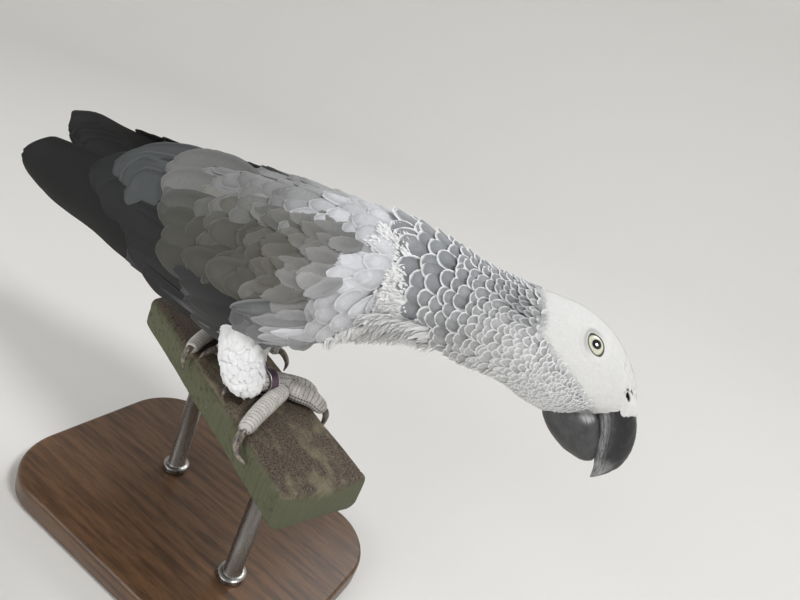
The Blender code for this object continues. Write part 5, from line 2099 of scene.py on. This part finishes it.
class PARROT_OT_eyes(bpy.types.Operator):
    """Make the eyeballs and the lids round them"""

    bl_idname = "parrot.eyes"
    bl_label = "Eyes"

    def execute(self, context):
        make_eyes(context.scene.parrot_colours, context.scene.parrot_sizes)
        make_lids(context.scene.parrot_colours)
        return {"FINISHED"}


class PARROT_OT_bill(bpy.types.Operator):
    """Make the bill and the cere over its root"""

    bl_idname = "parrot.bill"
    bl_label = "Bill"

    def execute(self, context):
        make_bill(context.scene.parrot_colours)
        make_cere(context.scene.parrot_colours)
        return {"FINISHED"}


class PARROT_OT_feet(bpy.types.Operator):
    """Make the scaly feet and their claws"""

    bl_idname = "parrot.feet"
    bl_label = "Feet"

    def execute(self, context):
        for side in TOES:
            make_foot(side, context.scene.parrot_colours, context.scene.parrot_sizes)
            make_claws(side, context.scene.parrot_colours)
        return {"FINISHED"}


class PARROT_OT_leg_ring(bpy.types.Operator):
    """Make the plain band on the right leg"""

    bl_idname = "parrot.leg_ring"
    bl_label = "Leg ring"

    def execute(self, context):
        make_leg_ring(context.scene.parrot_colours, context.scene.parrot_sizes)
        return {"FINISHED"}


class PARROT_OT_beam(bpy.types.Operator):
    """Make the worn length of beam that the bird stands on"""

    bl_idname = "parrot.beam"
    bl_label = "Beam"

    def execute(self, context):
        make_beam(context.scene.parrot_colours, context.scene.parrot_sizes)
        return {"FINISHED"}


class PARROT_OT_stand(bpy.types.Operator):
    """Make the base and the two rods of the stand"""

    bl_idname = "parrot.stand"
    bl_label = "Stand"

    def execute(self, context):
        make_stand(context.scene.parrot_colours, context.scene.parrot_sizes)
        return {"FINISHED"}


STEPS = (
    PARROT_OT_stage, PARROT_OT_skin, PARROT_OT_coat, PARROT_OT_wings, PARROT_OT_down, PARROT_OT_tail,
    PARROT_OT_eyes, PARROT_OT_bill, PARROT_OT_feet, PARROT_OT_leg_ring, PARROT_OT_beam, PARROT_OT_stand,
)


class PARROT_PT_steps(bpy.types.Panel):
    """The steps in order, then the sizes and colours"""

    bl_idname = "PARROT_PT_steps"
    bl_label = "Grey parrot"
    bl_space_type = "VIEW_3D"
    bl_region_type = "UI"
    bl_category = "Parrot"

    def draw(self, context):
        for step in STEPS:
            self.layout.operator(step.bl_idname)
        scene = context.scene
        for group in (scene.parrot_sizes, scene.parrot_colours, scene.parrot_studio):
            for label in group.bl_rna.properties.keys():
                if label not in ("rna_type", "name"):
                    self.layout.prop(group, label)


CLASSES = (ParrotSizes, ParrotColours, ParrotStudio, *STEPS, PARROT_PT_steps)


def register():
    for made in CLASSES:
        bpy.utils.register_class(made)
    bpy.types.Scene.parrot_sizes = PointerProperty(type=ParrotSizes)
    bpy.types.Scene.parrot_colours = PointerProperty(type=ParrotColours)
    bpy.types.Scene.parrot_studio = PointerProperty(type=ParrotStudio)


def unregister():
    del bpy.types.Scene.parrot_studio
    del bpy.types.Scene.parrot_colours
    del bpy.types.Scene.parrot_sizes
    for made in reversed(CLASSES):
        bpy.utils.unregister_class(made)


def main():
    register()
    for step in STEPS:
        group, name = step.bl_idname.split(".")
        getattr(getattr(bpy.ops, group), name)()


if __name__ == "__main__":
    main()
